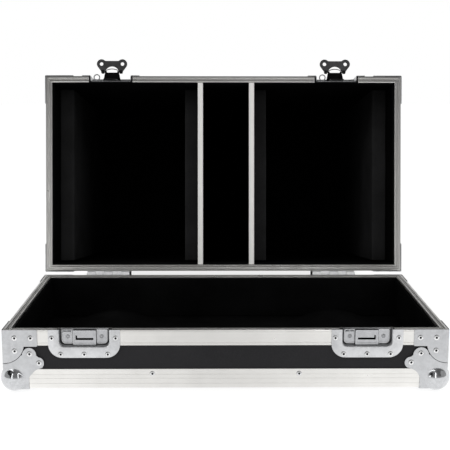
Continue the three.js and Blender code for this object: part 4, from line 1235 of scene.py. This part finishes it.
bm = bmesh.new()
bmesh.ops.create_grid(bm, x_segments=1, y_segments=1, size=9.0)
mesh = bpy.data.meshes.new("floor")
bm.to_mesh(mesh)
bm.free()
mesh.materials.append(floor_material())
floor = bpy.data.objects.new("floor", mesh)
floor.location.z = -0.0004
bpy.context.scene.collection.objects.link(floor)

world = bpy.data.worlds.new("world")
bpy.context.scene.world = world
look = Look(world, "World")
backgrounds = look.add("MixShader", Fac=rays_that_see(look))
for socket, strength in ((1, 0.66), (2, 1.0)):
    light = look.add("Background", Color=(1, 1, 1), Strength=strength)
    look.feed(backgrounds.inputs[socket], light.outputs[0])
look.shade(backgrounds.outputs[0])


AIM = Vector((0, 0, 0.2))


def lamp(name, at, size, energy):
    data = bpy.data.lights.new(name, "AREA")
    data.shape = "RECTANGLE"
    data.size, data.size_y = size
    data.energy = energy
    made = bpy.data.objects.new(name, data)
    made.location = at
    made.visible_glossy = False
    made.rotation_mode = "QUATERNION"
    made.rotation_quaternion = (AIM - Vector(at)).to_track_quat("-Z", "Y")
    bpy.context.scene.collection.objects.link(made)


lamp("key", (-1.9, -1.9, 2.1), (1.1, 1.4), 20)
lamp("fill", (2.0, -2.0, 1.6), (1.1, 1.4), 14)
lamp("top", (0, 0.2, 2.9), (1.8, 1.2), 16)


def card(name, corners, grey):
    """A panel that only reflections see."""
    mesh = bpy.data.meshes.new(name)
    mesh.from_pydata(corners, [], [(0, 1, 2, 3)])
    look = new_look(name)
    glow = look.add("Emission", Color=(grey,) * 3, Strength=1.0)
    mesh.materials.append(look.shade(glow.outputs[0]))
    made = bpy.data.objects.new(name, mesh)
    made.visible_camera = made.visible_diffuse = False
    made.visible_shadow = made.visible_transmission = False
    bpy.context.scene.collection.objects.link(made)
    return look, glow


def upright(y, *sides):
    return [(x, y, z) for x, z in rectangle(*sides)]


def level(z, *sides):
    return [(x, y, z) for x, y in rectangle(*sides)]


# What the bright metal mirrors: a dark room over a lighter band in front of the case, a wall
# at each side, a ceiling, and a wall behind
ROOM_Y, BAND_TOP = -4.2, 0.8
for name, x0, x1, z0, z1, grey in (("card_room_left", -6.0, -1.7, BAND_TOP, 4.0, 0.02),
                                   ("card_room_middle", -1.7, 1.2, BAND_TOP, 4.0, 0.25),
                                   ("card_room_right", 1.2, 5.0, BAND_TOP, 4.0, 0.16),
                                   ("card_stand", -6.0, 5.0, 0.0, BAND_TOP, 0.32)):
    card(name, upright(ROOM_Y, x0, x1, z0, z1), grey)
for name, x, z0, z1, grey in (("card_wall_left", -3.2, 0, 1.5, 0.45),
                              ("card_high_left", -3.2, 1.5, 3.4, 0.03),
                              ("card_wall_right", 3.2, 0, 3, 0.45)):
    card(name, [(x, y, z) for y, z in rectangle(ROOM_Y, 6, z0, z1)], grey)
card("card_ceiling", level(3.4, -5, 5, -5, 6), 0.15)
card("card_back", upright(5, -5, 5, 1.2, 3.4), 0.3)
# The floor's front, a little shaded in the middle and brighter close to the case
look, glow = card("card_floor", level(0.0015, -0.9, 0.9, -2.2, -0.42), 1.0)
place = look.add("SeparateXYZ", Vector=look.add("TexCoord").outputs["Object"]).outputs
shades = []
for source, *values in ((look.calc("ABSOLUTE", place["X"]), 0.03, 0.36, 0.8, 1.07),
                        (place["Y"], -0.8, -0.62, 1.0, 1.15)):
    fade = look.add("MapRange", Value=source)
    for socket, value in zip(("From Min", "From Max", "To Min", "To Max"), values):
        look.feed(fade.inputs[socket], value)
    shades.append(fade.outputs["Result"])
look.feed(glow.inputs["Strength"], look.calc("MULTIPLY", *shades))
# Two narrow lights near the case, which only the ball corners show as strokes
for name, x in (("card_light_left", -0.62), ("card_light_right", 0.22)):
    card(name, upright(-1.45, x - 0.065, x + 0.065, 0, 0.78), 2.4)

scene = bpy.context.scene
camera_data = bpy.data.cameras.new("camera")
camera = bpy.data.objects.new("camera", camera_data)
scene.collection.objects.link(camera)
scene.camera = camera
camera_data.sensor_fit = "HORIZONTAL"
camera_data.sensor_width = 36.0
camera_data.lens = 75.53
camera_data.clip_start, camera_data.clip_end = 0.05, 40
right = Vector((0.999946, -0.010277, 0.001464))
up = Vector((0.000331, 0.172492, 0.985011))
turn = Matrix((right, up, right.cross(up))).transposed().to_4x4()
camera.matrix_world = Matrix.Translation((-0.01680, -1.97107, 0.52075)) @ turn

scene.view_settings.view_transform = "Standard"
